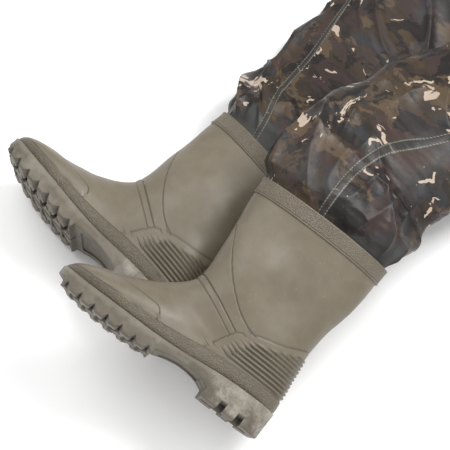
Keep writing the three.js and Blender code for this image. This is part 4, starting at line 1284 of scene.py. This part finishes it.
def make_pocket():
    """Chest pocket with its flap, then the patches under the braces and the hems."""
    sewn_patch("pocket_cloth", TORSO_X, POCKET_HALF, POCKET_BOTTOM, POCKET_TOP, pocket_z, 0.4, FABRIC,
               CAMO, "camo_cloth", "chest_pocket", offset=5000.0, columns=130, rows=120)
    sewn_patch("flap_cloth", TORSO_X, POCKET_HALF, FLAP_TIP_Y, FLAP_HINGE_Y, pocket_z, FABRIC + 3.6, FABRIC,
               CAMO, "camo_cloth", "pocket_flap", body="flap", offset=5600.0, columns=130, rows=80)
    x = np.linspace(TORSO_X - POCKET_HALF + 1, TORSO_X + POCKET_HALF - 1, 60)
    y = np.full_like(x, FLAP_HINGE_Y + 1.0)
    tube_piece("flap_hinge_tape", np.stack([x, y, pocket_z(x, y) + 3.3], -1), 3.1, sides=14)
    for label, side in (("left", 1), ("right", -1)):
        sewn_patch(f"{label}_brace_reinforcement", TORSO_X + side * BRACE_X, 24, 1222, 1286, front_z, 0.4,
                   1.2, PVC, "boot_pvc", f"{label}_brace_patch", columns=60, rows=70)
    sewn_patch("brace_cross_patch", TORSO_X, 30, 1462, 1518, lambda x, y: 0 * x, 3.9, 2.0,
               PVC, "boot_pvc", "cross_patch", columns=70, rows=70)
    sewn_patch("bib_hem_tape", TORSO_X, 138, BIB_TOP_Y - 16, BIB_TOP_Y - 1, front_z, 0.9, 1.4,
               CAMO, "camo_cloth", "bib_hem", columns=260, rows=30, offset=6200.0, inset=3.0)
    sewn_patch("back_hem_tape", TORSO_X, 140, BACK_TOP_Y - 16, BACK_TOP_Y - 1, back_z, FABRIC + 0.9, 1.4,
               CAMO, "camo_cloth", "back_hem", columns=260, rows=30, offset=6800.0, inset=3.0)


def make_ring_tab():
    """Webbing tab that holds the lashing ring, folded round the ring's straight side."""
    origin = (np.array(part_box("dee_tab")[0]) + np.array(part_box("dee_tab")[1])) / 2 / MM - SHIFT
    ring_low, ring_high = (np.array(p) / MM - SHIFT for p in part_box("dee_ring"))
    y0, z0 = ring_high[1] - 2.0, (ring_low[2] + ring_high[2]) / 2
    profile = [
        (26, 2.1), (12, 2.1), (7, 2.3), (4, 3.0), (0, 3.0), (-2.4, 2.4), (-2.7, 0), (-2.4, -2.4), (0, -3.0),
        (3.4, -3.0), (6.4, 0.4), (12, 0.8), (26, 0.8),
    ]
    line = fine_line([(origin[0], y0 + dy, z0 + dz) for dy, dz in profile], 1.0)
    ribbon("ring_tab_web", line, (1, 0, 0), NARROW_WEB, 1.1, "dee_tab")


make_pocket()
make_ring_tab()


# ---- camera, light and floor ----
TARGET = Vector((-0.0375, -0.628, 0.092))
AZIMUTH, ELEVATION, DISTANCE, LENS = 48.0, 65.0, 3.0, 190.9
away = Vector((
    math.sin(math.radians(AZIMUTH)) * math.cos(math.radians(ELEVATION)),
    -math.cos(math.radians(AZIMUTH)) * math.cos(math.radians(ELEVATION)),
    math.sin(math.radians(ELEVATION)),
))
camera = bpy.data.objects.new("camera", bpy.data.cameras.new("camera"))
bpy.context.scene.collection.objects.link(camera)
camera.location = TARGET + away * DISTANCE
camera.rotation_euler = (-away).to_track_quat("-Z", "Y").to_euler()
camera.data.lens = LENS
bpy.context.scene.camera = camera

floor_mesh = bpy.data.meshes.new("floor")
floor_mesh.from_pydata([(-8, -8, 0), (8, -8, 0), (8, 8, 0), (-8, 8, 0)], [], [(0, 1, 2, 3)])
floor = link("floor", floor_mesh)
paper = Shader("paper")
paper_tone = paper.ramp(paper.noise(paper.object_space(), 3.0), [(0.3, 0.93), (0.7, 0.95)])
paper.set(Base_Color=paper_tone, Roughness=0.9)
floor_mesh.materials.append(paper.material)


def area_light(name, location, target, size, power):
    light = bpy.data.lights.new(name, "AREA")
    light.energy = power
    light.size = size
    obj = bpy.data.objects.new(name, light)
    obj.location = location
    obj.rotation_euler = (Vector(target) - Vector(location)).to_track_quat("-Z", "Y").to_euler()
    bpy.context.scene.collection.objects.link(obj)


area_light("key", (0.5, 1.1, 2.3), (0, -0.4, 0), 1.2, 66)
area_light("fill", (2.0, -1.6, 1.9), (0, -0.4, 0), 1.8, 20)
area_light("top", (-1.4, -0.6, 2.4), (0, -0.3, 0), 1.6, 28)

world = bpy.data.worlds.new("studio")
world.use_nodes = True
world.node_tree.nodes["Background"].inputs[0].default_value = (1.0, 1.0, 1.0, 1.0)
world.node_tree.nodes["Background"].inputs[1].default_value = 0.7
bpy.context.scene.world = world
bpy.context.scene.view_settings.view_transform = "Standard"

NODE_MATERIALS = {
    "flap_hook": HOOK, "loop_patch": HOOK, "buckle": PLASTIC, "brace_adjuster": PLASTIC, "dee_ring": STEEL,
    "insole": FOAM, "boot": PVC, "outsole": SOLE, "brace_patch": PVC, "cross_patch": PVC, "brace": WEBBING,
    "belt": WEBBING, "fold": WEBBING, "loop": WEBBING, "tab": WEBBING,
}
for node_name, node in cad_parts.items():
    key = next((k for k in NODE_MATERIALS if k in node_name), None)
    node.data.materials.clear()
    node.data.materials.append(NODE_MATERIALS.get(key, CAMO))
